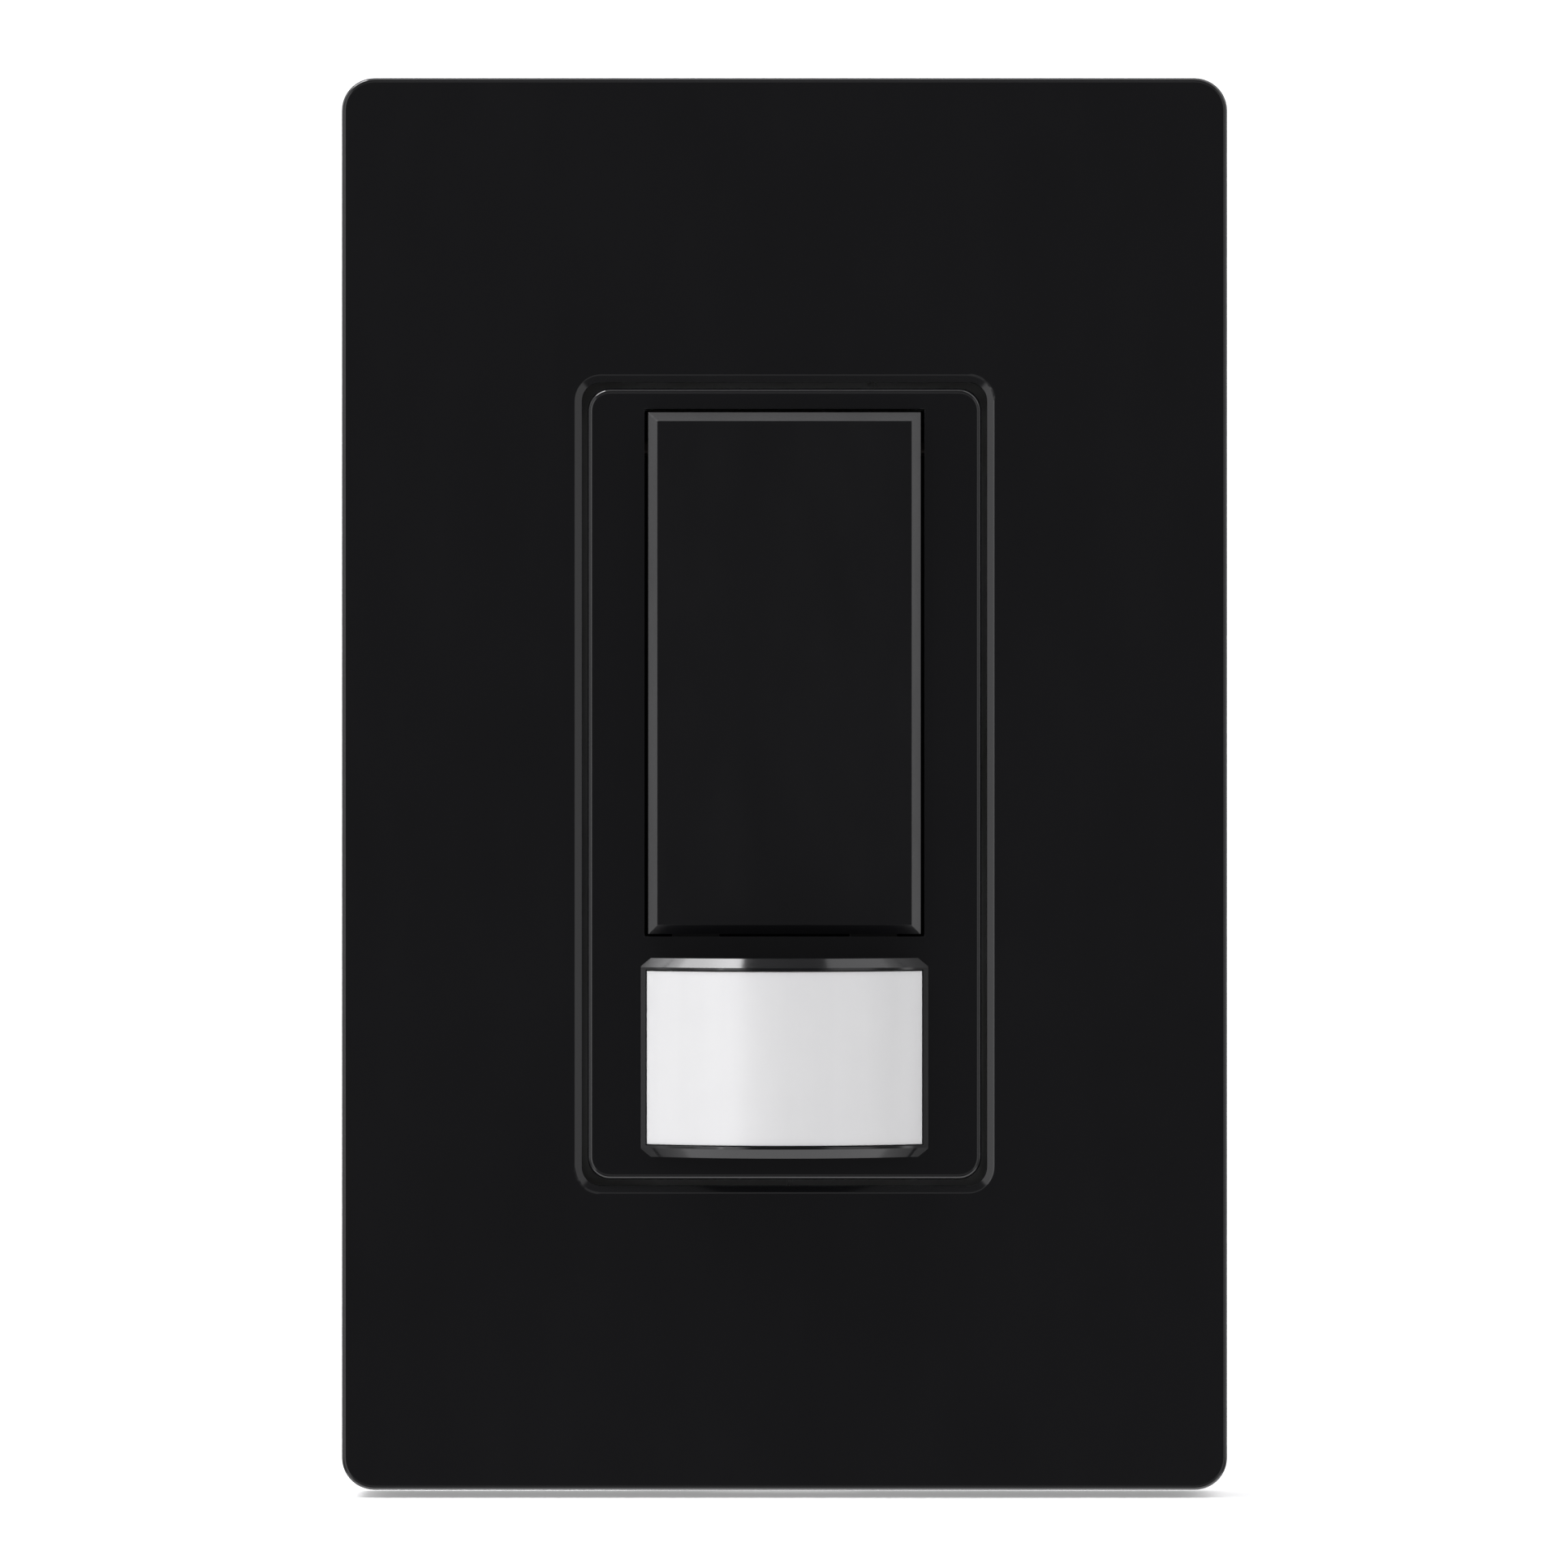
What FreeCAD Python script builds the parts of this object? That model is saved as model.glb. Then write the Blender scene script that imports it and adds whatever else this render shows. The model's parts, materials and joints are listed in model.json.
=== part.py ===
import FreeCAD, Part
import math
import os
import Sketcher

# Occupancy-sensing tap switch in a screwless single-gang wall plate.
# Frame: origin on the wall plane (y = 0) at the centre of the device, +X to the
# right seen from the room, +Z up. The front of the switch looks along -Y and
# the wiring box lies on the +Y side. All sizes in millimetres.

Vector = FreeCAD.Vector
doc = FreeCAD.newDocument("tap_switch")

# ---------------------------------------------------------------- dimensions
# Endings: w width, t thickness, r radius, half half a length, x y z a place.
SIZES = dict(
    gap=0.02,  # hairline between pieces that touch
    # wall plate
    plate_w=74.7, plate_height=119.1, plate_depth=8.6, plate_wall=1.8,
    plate_corner=2.75, plate_edge=0.4, open_w=34.2, open_height=67.8,
    open_corner=1.6, lip_w=0.6, lip_deep=0.24, lip_round=0.5,
    pry_w=12.0, pry_deep=0.9, pry_y=1.4,
    post_x=25.0, post_z=50.0, post_w=6.0, post_t=1.6, post_len=5.8,
    # plate adapter
    adapter_w=70.4, adapter_height=114.8, adapter_front=3.4, adapter_rim=1.4,
    adapter_open_w=36.4, adapter_open_height=70.6, adapter_corner=2.0,
    head_access_r=3.5, sink_bevel=1.15, adapter_hole_r=1.9,
    post_gap=0.2, nib_w=8.0, nib_out=0.25, nib_x=17.0, nib_root=0.5,
    rib_x=30.6, rib_t=0.9, rib_back=0.2, rib_start=22.8, cross_rib_near=14.0, cross_rib_far=32.0,
    # metal yoke
    yoke_t=1.2, yoke_w=44.0, yoke_len=106.5, yoke_end_w=33.4, yoke_corner=3.0,
    yoke_mid_half=36.5, yoke_taper_half=40.0, yoke_win_w=30.4, yoke_win_height=63.6,
    yoke_slot_r=2.1, yoke_slot_half=1.5, ear_hole_r=2.2, ear_hole_x=11.0,
    score_x=5.6, score_len=2.6, score_half=0.4, yoke_tap_r=1.75, house_tap_r=1.22,
    tab_t=1.2, tab_len=9.4, tab_low=50.2, tab_high=43.2,
    # fasteners
    box_pitch=83.34, box_r=1.75, box_neck_r=1.35, box_head_r=3.3,
    box_head_t=2.1, box_neck_end=0.46, box_end=23.4,
    adapter_pitch=96.84, adapter_screw_r=1.72, adapter_screw_head_r=2.75,
    adapter_screw_end=4.2, slot_w=0.9, slot_deep=0.9,
    retainer_w=9.0, retainer_t=0.4,
    ground_z=47.0, ground_y=4.9, ground_r=1.9, ground_head_r=4.0,
    ground_head_t=2.6, ground_len=6.0,
    # bezel
    bezel_w=33.2, bezel_height=66.7, bezel_front=8.8, bezel_web=2.0, bezel_wall=1.5,
    bezel_corner=1.9, bezel_edge=0.45, well_w=23.6, well_top=31.63, well_bottom=12.85,
    leg_z=20.0, leg_w=5.0, leg_t=1.5, leg_end=1.3, leg_fit=0.1, hook=0.75,
    boss_in=11.9, boss_half=2.5, boss_y=3.6,
    # sensor hood and lens
    sensor_z=23.04, hood_w=24.2, hood_height=16.76, hood_flank=0.08, hood_sag=4.6,
    hood_bevel=0.78, hood_bevel_y=0.62, lens_w=23.18, lens_height=14.58, lens_fit=0.1,
    lens_t=0.8, lens_back=6.2, flange=0.8, flange_side=0.5, flange_t=0.5, lens_inset=0.06,
    # paddle
    paddle_w=22.96, paddle_top=31.32, paddle_bottom=12.64, paddle_front=9.9, paddle_back=6.4,
    paddle_bevel=0.77, paddle_skin=1.4, paddle_wall=1.3,
    pin_z=28.5, pin_y=6.0, pin_r=0.75, pin_half=14.0, pin_bevel=0.2, pin_ear_r=0.79,
    pin_boss_r=0.78, pin_play=0.15, ear_x0=8.2, ear_half=2.0, ear_y=4.4,
    tap_z=6.0, rib_half=2.0, rib_r=1.0, rib_tip=5.4,
    stop_x=7.5, stop_w=4.0, stop_z=14.3, stop_gap=0.05, stop_t=1.1,
    skin_rib_low=4.0, skin_rib_high=15.0, skin_rib_t=1.0, skin_rib_deep=1.2,
    spring_x=6.8, spring_post_r=1.25, spring_post_len=1.5,
    spring_r=1.75, spring_wire=0.16, spring_pitch=1.3,
    # insulating tray and control board
    tray_w=29.8, tray_top=31.3, tray_bottom=13.6, tray_front=0.6, tray_back=0.6,
    tray_hole=7.2, tray_notch_w=6.0, tray_notch_x=13.3,
    foot_x=11.5, foot_r=1.4, bar_w=1.0, bar_t=0.9, bar_inset=1.6,
    board_w=28.8, board_height=62.4, board_y=1.6, board_t=1.6, board_corner=1.0,
    # tap switch
    tact_w=6.2, tact_corner=0.3, tact_front=3.2, tact_cover=0.3, tact_bore=2.4, tact_floor=0.4,
    plunger_r=1.7, plunger_top=5.38, plunger_flange_r=2.3, plunger_flange_t=0.7,
    cover_bore=1.8, cover_leg_half=1.2, cover_lap=0.4, dome_r=1.6, dome_rise=0.6, dome_t=0.12,
    # sensor parts
    shroud_w=24.4, shroud_height=16.2, shroud_wall=1.0, baffle_y=0.9, baffle_t=0.8,
    pir_r=4.1, pir_flange_r=4.6, pir_front=2.6, pir_win_w=4.0, pir_win_height=3.0,
    led_x=7.6, led_r=1.5, led_front=3.1, led_flange=0.3, led_flange_t=0.9,
    # back housing
    house_w=43.5, house_height=67.0, house_back=29.4, house_wall=1.8, house_floor=2.0,
    house_corner=2.4, house_edge=1.2, house_boss_x=18.9, house_boss_z=29.5,
    house_boss_r=3.0, house_hole_r=1.4, house_bore_r=2.4, house_bore_deep=2.3,
    house_screw_r=1.2, house_head_r=2.15, house_head_t=1.7,
    panel_w=24.0, panel_height=40.0, panel_deep=0.4, gauge_half=7.5, gauge_z=25.5,
    gauge_w=1.2, release_x=16.6, release_dz=2.6, release_r=1.15, release_deep=1.3,
    # power board
    power_y=22.4, power_t=1.6, power_w=36.4, power_height=62.4,
    power_mid_half=25.8, power_end_w=30.4, stand_x=12.0, stand_z=29.0, stand_r=2.2,
    # terminals
    term_z=13.0, term_y=13.0, term_half_z=5.4, term_half_y=6.8, term_floor=18.5,
    term_block=15.9, term_rim=1.3, term_plate_t=1.0, term_screw_r=1.95, term_hole_fit=0.3,
    term_head_r=4.0, term_head_t=1.9, clamp_t=0.9, clamp_w=9.0, term_tip=14.6,
    tail_half=1.5, tail_slot_half=1.7, groove_step=3.1,
    # relay
    relay_x=-6.5, relay_z=16.0, relay_w=20.2, relay_deep=15.6, relay_height=15.4,
    relay_wall=0.8, relay_base_t=1.6, coil_x=-8.2, core_r=2.0, coil_r=4.5, frame_t=1.1,
    bobbin_flange=10.4, bobbin_t=0.8, armature_y=9.65, armature_x=-14.1, armature_t=0.9,
    armature_w=9.0, contact_x=0.9, contact_r=1.3, contact_len=1.35, contact_gap=0.62,
    # other power parts
    bulk_x=9.4, bulk_z=6.0, bulk_r=4.9, bulk_len=15.0,
    filter_x=-6.4, filter_z=-8.4, filter_w=12.6, filter_deep=6.2, filter_height=11.4,
    varistor_x=8.6, varistor_z=-5.8, varistor_r=4.6, varistor_t=3.8, varistor_rise=6.4,
    varistor_lead_x=2.2,
    inductor_x=8.0, inductor_z=-16.0, inductor_r=4.6, inductor_height=9.6, inductor_core_r=2.2,
    rectifier_x=-8.0, rectifier_z=-19.6, rectifier_w=8.4, rectifier_deep=6.4, rectifier_t=2.8,
    fuse_x=7.4, fuse_z=-26.4, fuse_r=1.7, fuse_len=8.6, fuse_rise=2.3, fuse_lead=1.4,
    mcu_z=12.0, mcu_w=12.8, mcu_deep=7.5, mcu_t=2.3, mcu_lift=0.15,
    lead_pitch=1.27, lead_w=0.42, lead_start=0.49,
    header_z=-3.0, header_w=15.3, header_deep=2.6, header_t=2.5, link_pitch=2.54,
    link_half=0.32, link_end=24.9,
    chip_z=14.0, chip_left=-9.0, chip_right=-6.0, chip_half=0.8, chip_t=0.9,
    chip_span_x=12.0, chip_span_z=6.0,
)
sheet = doc.addObject("Spreadsheet::Sheet", "Params")
for row, (name, value) in enumerate(SIZES.items(), start=1):
    sheet.set(f"A{row}", name)
    sheet.set(f"B{row}", str(value))
    sheet.setAlias(f"B{row}", name)
doc.recompute()


def operator_pair(symbol, compute):
    """A Dim operator and the same with its operands swapped."""
    def forward(left, right):
        left, right = as_dim(left), as_dim(right)
        value = compute(left.value, right.value)
        return Dim(value, f"({left.text} {symbol} {right.text})")

    return forward, lambda right, left: forward(left, right)


class Dim:
    """A size with both its number and the sheet expression that drives it."""

    def __init__(self, value, text):
        self.value, self.text = float(value), text

    __add__, __radd__ = operator_pair("+", lambda left, right: left + right)
    __sub__, __rsub__ = operator_pair("-", lambda left, right: left - right)
    __mul__, __rmul__ = operator_pair("*", lambda left, right: left * right)
    __truediv__, __rtruediv__ = operator_pair("/", lambda left, right: left / right)

    def __neg__(self):
        return 0 - self


def as_dim(value):
    return value if isinstance(value, Dim) else Dim(value, f"({float(value)!r})")


def root(value):
    return Dim(value.value ** 0.5, f"sqrt({value.text})")


class Dimensions:
    """dim.name is the sheet's size of that name."""

    def __getattr__(self, name):
        return Dim(SIZES[name], f"Params.{name}")


dim = Dimensions()
SIDES = (-1, 1)


# -------------------------------------------------------------------- shapes
# A shape is a circle (x, y, radius) or a list of outline points. A point is
# (x, y) or (x, y, centre x, centre y, anticlockwise), where an arc leads on.
def box(x0, y0, x1, y1):
    return [(x0, y0), (x1, y0), (x1, y1), (x0, y1)]


def rect(x, y, half_x, half_y):
    return box(x - half_x, y - half_y, x + half_x, y + half_y)


def slot(y, half, radius):
    """A slot along x, its arc centres at -half and half."""
    return [(-half, y - radius), (half, y - radius, half, y, True),
            (half, y + radius), (-half, y + radius, -half, y, True)]


def cross(width, length):
    """A plus-shaped driver recess."""
    arm, tip = width / 2, length / 2
    return [(-tip, -arm), (-arm, -arm), (-arm, -tip), (arm, -tip), (arm, -arm), (tip, -arm),
            (tip, arm), (arm, arm), (arm, tip), (-arm, tip), (-arm, arm), (-tip, arm)]


def mirrored(x, y):
    """The four places x, y mirrored about both axes."""
    return [(side_x * x, side_y * y) for side_x in SIDES for side_y in SIDES]


# ------------------------------------------------------------------ sketches
def constrain(sketch, size, kind, *where):
    """Add a constraint with its value driven by the sheet."""
    index = sketch.addConstraint(Sketcher.Constraint(kind, *where, size.value))
    sketch.setExpression(f"Constraints[{index}]", size.text)


def pin(sketch, axis, curve, vertex, place):
    """Fix one coordinate, "X" or "Y", of a sketch point."""
    if abs(place.value) < 1e-9:
        line = -2 if axis == "X" else -1
        sketch.addConstraint(Sketcher.Constraint("PointOnObject", curve, vertex, line))
    else:
        constrain(sketch, place, "Distance" + axis, -1, 1, curve, vertex)


def arc_through(start, end, x, y, anticlockwise):
    (x0, y0), (x1, y1) = start, end
    first, last = math.atan2(y0 - y, x0 - x), math.atan2(y1 - y, x1 - x)
    if not anticlockwise:
        first, last = last, first
    while last <= first:
        last += 2 * math.pi
    circle = Part.Circle(Vector(x, y, 0), Vector(0, 0, 1), math.hypot(x0 - x, y0 - y))
    return Part.ArcOfCircle(circle, first, last)


def draw_outline(sketch, points):
    points = [[as_dim(number) for number in point] for point in points]
    places = [(point[0].value, point[1].value) for point in points]
    next_places = places[1:] + places[:1]
    ends = []  # curve, its start vertex, its end vertex
    for point, start, end in zip(points, places, next_places):
        vertices = (1, 2)
        if len(point) == 2:
            curve = Part.LineSegment(Vector(*start, 0), Vector(*end, 0))
        else:
            x, y, anticlockwise = [number.value for number in point[2:]]
            curve = arc_through(start, end, x, y, anticlockwise)
            if not anticlockwise:
                vertices = (2, 1)
        ends.append((sketch.addGeometry(curve, False), *vertices))
    for (curve, _, last), (following, first, _) in zip(ends, ends[1:] + ends[:1]):
        sketch.addConstraint(Sketcher.Constraint("Coincident", curve, last, following, first))
    for point, (curve, first, _), start, end in zip(points, ends, places, next_places):
        pin(sketch, "X", curve, first, point[0])
        pin(sketch, "Y", curve, first, point[1])
        if len(point) > 2:
            # one coordinate of the centre is enough: the one across the chord
            if abs(end[1] - start[1]) > abs(end[0] - start[0]):
                pin(sketch, "X", curve, 3, point[2])
            else:
                pin(sketch, "Y", curve, 3, point[3])


def draw_circle(sketch, x, y, radius):
    x, y, radius = as_dim(x), as_dim(y), as_dim(radius)
    circle = Part.Circle(Vector(x.value, y.value, 0), Vector(0, 0, 1), radius.value)
    curve = sketch.addGeometry(circle, False)
    constrain(sketch, radius, "Radius", curve)
    pin(sketch, "X", curve, 3, x)
    pin(sketch, "Y", curve, 3, y)


# ------------------------------------------------------------------ features
# Directions: origin plane, and the sign of the direction along its normal.
FRONT, BACK = ("XZ_Plane", 1), ("XZ_Plane", -1)
UP, DOWN = ("XY_Plane", 1), ("XY_Plane", -1)
RIGHT, LEFT = ("YZ_Plane", 1), ("YZ_Plane", -1)

pieces = []
count = {"features": 0}


def new_body(name, x=None, y=None, z=None, turn=None):
    """Start a piece. turn is in degrees about Z."""
    body = doc.addObject("PartDesign::Body", name)
    body.Label = name
    if turn is not None:
        body.Placement = FreeCAD.Placement(Vector(0, 0, 0), FreeCAD.Rotation(Vector(0, 0, 1), turn))
    for axis, place in (("x", x), ("y", y), ("z", z)):
        if place is not None:
            body.setExpression(f"Placement.Base.{axis}", as_dim(place).text)
    pieces.append(body)
    return body


def origin_feature(body, role):
    return [item for item in body.Origin.OriginFeatures if item.Role == role][0]


def new_sketch(body, role, at, shapes):
    count["features"] += 1
    sketch = body.newObject("Sketcher::SketchObject", f"sk{count['features']}")
    sketch.AttachmentSupport = [(origin_feature(body, role), "")]
    sketch.MapMode = "FlatFace"
    # the XZ plane looks along -Y, so its offset is minus y
    offset = -as_dim(at) if role == "XZ_Plane" else as_dim(at)
    sketch.setExpression("AttachmentOffset.Base.z", offset.text)
    for shape in shapes:
        if isinstance(shape, tuple):
            draw_circle(sketch, *shape)
        else:
            draw_outline(sketch, shape)
    return sketch


def extrude(body, kind, role, backward, at, length, shapes):
    sketch = new_sketch(body, role, at, shapes)
    feature = body.newObject(f"PartDesign::{kind}", f"{kind.lower()}{count['features']}")
    feature.Profile = sketch
    feature.setExpression("Length", as_dim(length).text)
    feature.Reversed = backward
    return feature


# Starts and lengths often carry a small plain number: it sinks a pad into
# its neighbour, or carries a cut clear of the surface.
def pad(body, direction, at, length, shapes):
    """Add material from the plane at, in the direction."""
    role, sign = direction
    return extrude(body, "Pad", role, sign < 0, at, length, shapes)


def cut(body, direction, at, length, shapes):
    """Remove material from the plane at, in the direction."""
    role, sign = direction
    return extrude(body, "Pocket", role, sign > 0, at, length, shapes)


def through(body, front, back, shapes):
    """Cut right through from y = front to y = back, with 1 mm to spare at each end."""
    return cut(body, BACK, front - 1, back - front + 2, shapes)


def turned(body, profile, role="YZ_Plane"):
    """A turned piece about Y (or X from the XY plane). Points are (along the axis, radius)."""
    sketch = new_sketch(body, role, 0, [profile])
    feature = body.newObject("PartDesign::Revolution", f"turn{count['features']}")
    feature.Profile = sketch
    feature.ReferenceAxis = (sketch, ["H_Axis"])
    feature.Angle = 360
    return feature


def row_of(body, features, axis, number, length, second=None):
    """Repeat features along an axis; second is (axis, number, length)."""
    row = body.newObject("PartDesign::LinearPattern", f"row{count['features']}")
    row.Originals = features
    row.Direction = (origin_feature(body, axis), [""])
    row.Occurrences = number
    row.setExpression("Length", as_dim(length).text)
    if second:
        axis, number, length = second
        row.Direction2 = (origin_feature(body, axis), [""])
        row.Occurrences2 = number
        row.setExpression("Length2", as_dim(length).text)
    body.Tip = row


def blend(body, kind, size, test, second_size=None):
    """Round (Fillet) or bevel (Chamfer) the edges that pass the test."""
    doc.recompute()
    tip = body.Tip
    names = [f"Edge{i}" for i, edge in enumerate(tip.Shape.Edges, start=1) if test(edge)]
    if not names:
        raise ValueError(f"{body.Label}: no edges found for {kind}")
    count["features"] += 1
    feature = body.newObject(f"PartDesign::{kind}", f"{kind.lower()}{count['features']}")
    feature.Base = (tip, names)
    feature.setExpression("Radius" if kind == "Fillet" else "Size", as_dim(size).text)
    if second_size is not None:
        feature.ChamferType = "Two distances"
        feature.setExpression("Size2", second_size.text)


def along_y(edge, x=None, z=None):
    """Straight edges parallel to Y, on the lines |x|, |z| if given."""
    bounds = edge.BoundBox
    centre = bounds.Center
    return (
        bounds.XLength < 1e-4 and bounds.ZLength < 1e-4 and bounds.YLength > 0.05
        and (x is None or abs(abs(centre.x) - x.value) < 0.05)
        and (z is None or abs(abs(centre.z) - z.value) < 0.05)
    )


def in_plane_y(edge, y):
    bounds = edge.BoundBox
    return abs(bounds.YMin - y.value) < 1e-3 and abs(bounds.YMax - y.value) < 1e-3


def round_corners(body, radius, x, z):
    blend(body, "Fillet", radius, lambda edge: along_y(edge, x, z))


def blend_plane(body, kind, size, y):
    """Blend the edges in the plane y."""
    blend(body, kind, size, lambda edge: in_plane_y(edge, y))


def round_all_but(body, radius, y):
    """Round every edge except those in the plane y."""
    blend(body, "Fillet", radius, lambda edge: not in_plane_y(edge, y))


# ------------------------------------------------------- the plate and yoke
def make_wall_plate():
    body = new_body("wall_plate")
    half_w, half_h = dim.plate_w / 2, dim.plate_height / 2
    pad(body, FRONT, 0, dim.plate_depth, [rect(0, 0, half_w, half_h)])
    round_corners(body, dim.plate_corner, half_w, half_h)
    # hollow back
    skin = -(dim.plate_depth - dim.plate_wall)
    inner_w, inner_h = half_w - dim.plate_wall, half_h - dim.plate_wall
    cut(body, BACK, skin, dim.plate_depth, [rect(0, 0, inner_w, inner_h)])
    round_corners(body, dim.plate_corner - dim.plate_wall / 2, inner_w, inner_h)
    # device opening
    open_w, open_h = dim.open_w / 2, dim.open_height / 2
    cut(body, BACK, -dim.plate_depth - 1, dim.plate_depth, [rect(0, 0, open_w, open_h)])
    round_corners(body, dim.open_corner, open_w, open_h)

    def front_edge(edge, at_opening):
        bounds = edge.BoundBox
        near = max(-bounds.XMin, bounds.XMax) < 20 and max(-bounds.ZMin, bounds.ZMax) < 36
        return in_plane_y(edge, -dim.plate_depth) and near == at_opening

    # shallow sloped lip with a rounded crest, then a soft outer edge
    blend(body, "Chamfer", dim.lip_deep, lambda edge: front_edge(edge, True), dim.lip_w)
    blend(body, "Fillet", dim.lip_round, lambda edge: front_edge(edge, True))
    blend(body, "Fillet", dim.plate_edge, lambda edge: front_edge(edge, False))
    # catch posts behind the face
    pad(body, BACK, skin, dim.post_len, [
        rect(x, z, dim.post_w / 2, dim.post_t / 2) for x, z in mirrored(dim.post_x, dim.post_z)])
    # pry notch in the lower edge
    pry = dim.pry_w / 2
    cut(body, BACK, -dim.pry_y, dim.pry_y + 1, [box(-pry, -half_h - 1, pry, -half_h + dim.pry_deep)])


def make_plate_adapter():
    body = new_body("plate_adapter")
    half_w, half_h = dim.adapter_w / 2, dim.adapter_height / 2
    front = -dim.adapter_front
    pad(body, FRONT, 0, dim.adapter_front, [rect(0, 0, half_w, half_h)])
    round_corners(body, dim.adapter_corner, half_w, half_h)
    inner_w, inner_h = half_w - dim.adapter_rim, half_h - dim.adapter_rim
    cut(body, BACK, -dim.yoke_t, dim.yoke_t + 1, [rect(0, 0, inner_w, inner_h)])
    open_w, open_h = dim.adapter_open_w / 2, dim.adapter_open_height / 2
    through(body, front, 0, [rect(0, 0, open_w, open_h)])
    round_corners(body, dim.open_corner, open_w, open_h)
    # screwdriver access to the box screws, screw holes, and windows for the catch posts
    for pitch, radius in ((dim.box_pitch, dim.head_access_r),
                          (dim.adapter_pitch, dim.adapter_hole_r)):
        through(body, front, 0, [(0, side * pitch / 2, radius) for side in SIDES])
    window_w, window_t = dim.post_w / 2 + dim.post_gap, dim.post_t / 2 + dim.post_gap
    through(body, front, 0, [
        rect(x, z, window_w, window_t) for x, z in mirrored(dim.post_x, dim.post_z)])
    # snap nibs on the lower and upper edge
    nib = dim.nib_w / 2
    for side in SIDES:
        pad(body, FRONT, -dim.yoke_t - 0.2, dim.adapter_front - dim.yoke_t - 0.8, [
            box(x - nib, side * (half_h - dim.nib_root), x + nib, side * (half_h + dim.nib_out))
            for x in (-dim.nib_x, dim.nib_x)])
    # stiffening ribs behind: two upright, then short ones across, outside the yoke
    rib, rib_len = dim.rib_t / 2, dim.yoke_t - dim.rib_back + 0.1
    pad(body, FRONT, -dim.rib_back, rib_len, [
        rect(side * dim.rib_x, 0, rib, inner_h + 0.1) for side in SIDES])
    near, far = dim.cross_rib_near, dim.cross_rib_far
    for z in (-near, -far, near, far):
        pad(body, FRONT, -dim.rib_back, rib_len, [
            box(side * dim.rib_start, z - rib, side * (inner_w + 0.1), z + rib) for side in SIDES])
    # countersinks
    width = 2 * dim.adapter_hole_r.value
    blend(body, "Chamfer", dim.sink_bevel, lambda edge: in_plane_y(edge, front)
          and abs(edge.BoundBox.XLength - width) < 0.05)


def make_yoke():
    body = new_body("yoke")
    wide, end, tip = dim.yoke_w / 2, dim.yoke_end_w / 2, dim.yoke_len / 2
    mid, taper = dim.yoke_mid_half, dim.yoke_taper_half
    pad(body, FRONT, 0, dim.yoke_t, [[
        (-end, -tip), (end, -tip), (end, -taper), (wide, -mid), (wide, mid), (end, taper),
        (end, tip), (-end, tip), (-end, taper), (-wide, mid), (-wide, -mid), (-end, -taper)]])
    round_corners(body, dim.yoke_corner, end, tip)
    far = dim.adapter_pitch / 2
    for shapes in (
        # window
        [rect(0, 0, dim.yoke_win_w / 2, dim.yoke_win_height / 2)],
        # box screw slots
        [slot(side * dim.box_pitch / 2, dim.yoke_slot_half, dim.yoke_slot_r) for side in SIDES],
        # adapter screw holes
        [(0, side * far, dim.yoke_tap_r) for side in SIDES],
        # ear holes
        [(x, z, dim.ear_hole_r) for x, z in mirrored(dim.ear_hole_x, far)],
        # score notches in both ends
        [box(x - dim.score_half, side * (tip - dim.score_len), x + dim.score_half, side * (tip + 1))
         for x in (-dim.score_x, dim.score_x) for side in SIDES],
        # housing screw holes
        [(x, z, dim.house_tap_r) for x, z in mirrored(dim.house_boss_x, dim.house_boss_z)],
    ):
        through(body, -dim.yoke_t, 0, shapes)
    # folded tab for the ground screw
    pad(body, BACK, -dim.yoke_t, dim.tab_len + dim.yoke_t, [
        box(-end, -dim.tab_low, -end + dim.tab_t, -dim.tab_high)])
    cut(body, RIGHT, -end - 1, dim.tab_t + 2, [
        (dim.ground_y, -dim.ground_z, dim.ground_r + dim.gap)])


# ----------------------------------------------------------------- fasteners
def make_mounting_screws():
    body = new_body("mounting_screws", z=-(dim.box_pitch / 2))
    seat = -dim.yoke_t
    top, head, thread = seat - dim.box_head_t, dim.box_head_r, dim.box_r
    screw = turned(body, [
        (top, 0), (top, head * 0.62), (seat - dim.box_head_t * 0.55, head),
        (seat, head), (seat, dim.box_neck_r), (dim.box_neck_end, dim.box_neck_r),
        (dim.box_neck_end, thread), (dim.box_end - 1.2, thread),
        (dim.box_end, thread - 0.9), (dim.box_end, 0)])
    recess = cut(body, BACK, top - 0.5, dim.slot_deep + 0.5, [
        rect(0, 0, head + 1, dim.slot_w / 2)])
    row_of(body, [screw, recess], "Z_Axis", 2, dim.box_pitch)


def make_adapter_screws():
    body = new_body("adapter_screws", z=-(dim.adapter_pitch / 2))
    top, end = -dim.adapter_front + 0.05, dim.adapter_screw_end
    head, thread = dim.adapter_screw_head_r, dim.adapter_screw_r
    screw = turned(body, [
        (top, 0), (top, head), (top + 0.15, head), (top + 0.15 + head - thread, thread),
        (end - 0.8, thread), (end, thread - 0.6), (end, 0)])
    recess = cut(body, BACK, top - 0.5, dim.slot_deep * 0.8 + 0.5, [
        rect(0, 0, dim.box_head_r + 1, dim.slot_w / 2)])
    row_of(body, [screw, recess], "Z_Axis", 2, dim.adapter_pitch)


def make_screw_retainers():
    body = new_body("screw_retainers", z=-(dim.box_pitch / 2))
    half = dim.retainer_w / 2
    washer = pad(body, FRONT, dim.retainer_t + dim.gap, dim.retainer_t, [
        rect(0, 0, half, half), (0, 0, dim.box_neck_r + dim.gap)])
    row_of(body, [washer], "Z_Axis", 2, dim.box_pitch)


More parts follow.
